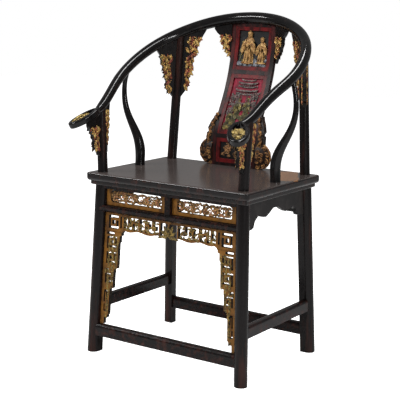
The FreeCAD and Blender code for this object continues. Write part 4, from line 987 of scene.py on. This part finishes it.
def beam(width, thick, deep):
    """A flat moulded bar with upturned ends, modelled upright at the origin."""
    bar = sheet(-width / 2, width / 2, 0, thick, 12, 1)
    for point in bar.data.vertices:
        point.co.z += (abs(point.co.x) / (width / 2000)) ** 3 * beam_upturn
    pick(bar, lambda co: True)
    bpy.ops.mesh.extrude_region_move(TRANSFORM_OT_translate={"value": (0, -deep / 1000, 0)})
    close_edit(mend=True)
    edge = bar.modifiers.new("edge", "BEVEL")
    edge.width = beam_bevel
    bpy.ops.object.modifier_apply(modifier="edge")
    return bar


eaves = [set_in(beam(width, thick, deep), 2, z, middle_panel) for width, z, thick, deep in roof_beams]
for x in (-27, -12, 6, 20, 31):
    post = grown(0.0019, ((0.03, 1), (0.006, 1.5)), 1, 8, 1.0)
    eaves.append(set_in(post, x, 692, middle_panel, 0.0012))
for k in range(10):
    for x, z in ((-29 + k * 7, 748), (-32 + k * 7.4, 727)):
        eaves.append(on_splat(x, z, middle_panel, math.pi / 2, 9, leaf, lift=1, thick=0.9))
dress("pavilion", eaves, grey_gilt)

draw = random.Random(5).uniform
trees = []
for x, z, wide, tall, count in clumps:
    for k in range(count):
        trees.append(on_splat(x + draw(-wide, wide), z + draw(-tall, tall), middle_panel, draw(0, math.tau),
                              draw(11, 15), (leaf, leaf, flower)[k % 3], draw(0, 2), stretch=1.2))
dress("scene_trees", trees, grey_gilt)

walkers = [set_in(robed_figure(height, width, turn_to), x, z, middle_panel)
           for height, width, turn_to, x, z in scene_figures]
dress("scene_figures", walkers, green_gilt)
hills = []
for k in range(64):
    hills.append(on_splat(draw(-45, 45), draw(627, 664), middle_panel, draw(-0.5, 0.9), draw(12, 17),
                          (leaf, leaf, flower, scroll)[k % 4], draw(0, 2), 0.9, leaf_stretch))
dress("scene_hills", hills, green_gilt)


# Flowers in the splat's lower panel
# A round flower with scrolling leaves, carved in low relief from the panel's own
# wood. The gilt has gone dark on its black ground.
posy_gilt = gilding("posy_gilt", [(0.32, (0.05, 0.03, 0.015)), (0.5, (0.3, 0.14, 0.05)),
                                  (0.62, (0.5, 0.25, 0.1)), (0.74, (0.16, 0.14, 0.06))], 90, 0.25, 0.45)
posy_scrolls = ((8, 576, 0.2), (30, 570, 2.4), (2, 556, 3.5), (24, 553, 0.8), (-24, 552, 5.6), (40, 556, 1.7))
posy = [on_splat(-22, 573, lower_panel, 0.3, 27, flower, thick=0.45),
        on_splat(-22, 573, lower_panel, 1.0, 17, flower, lift=2, thick=0.6)]
for x, z, angle in posy_scrolls:
    posy.append(on_splat(x, z, lower_panel, angle, 18, scroll, lift=1.2, thick=0.8))
for k in range(26):
    posy.append(on_splat(draw(-45, 45), draw(544, 585), lower_panel, draw(0, math.tau), draw(9, 13), leaf,
                         draw(0, 1), thick=0.8, stretch=1.2))
dress("lower_panel_posy", posy, posy_gilt)

for pattern in (leaf, flower, scroll):
    bpy.data.objects.remove(pattern)
for finish in (high, hollow):
    bpy.data.materials.remove(finish)
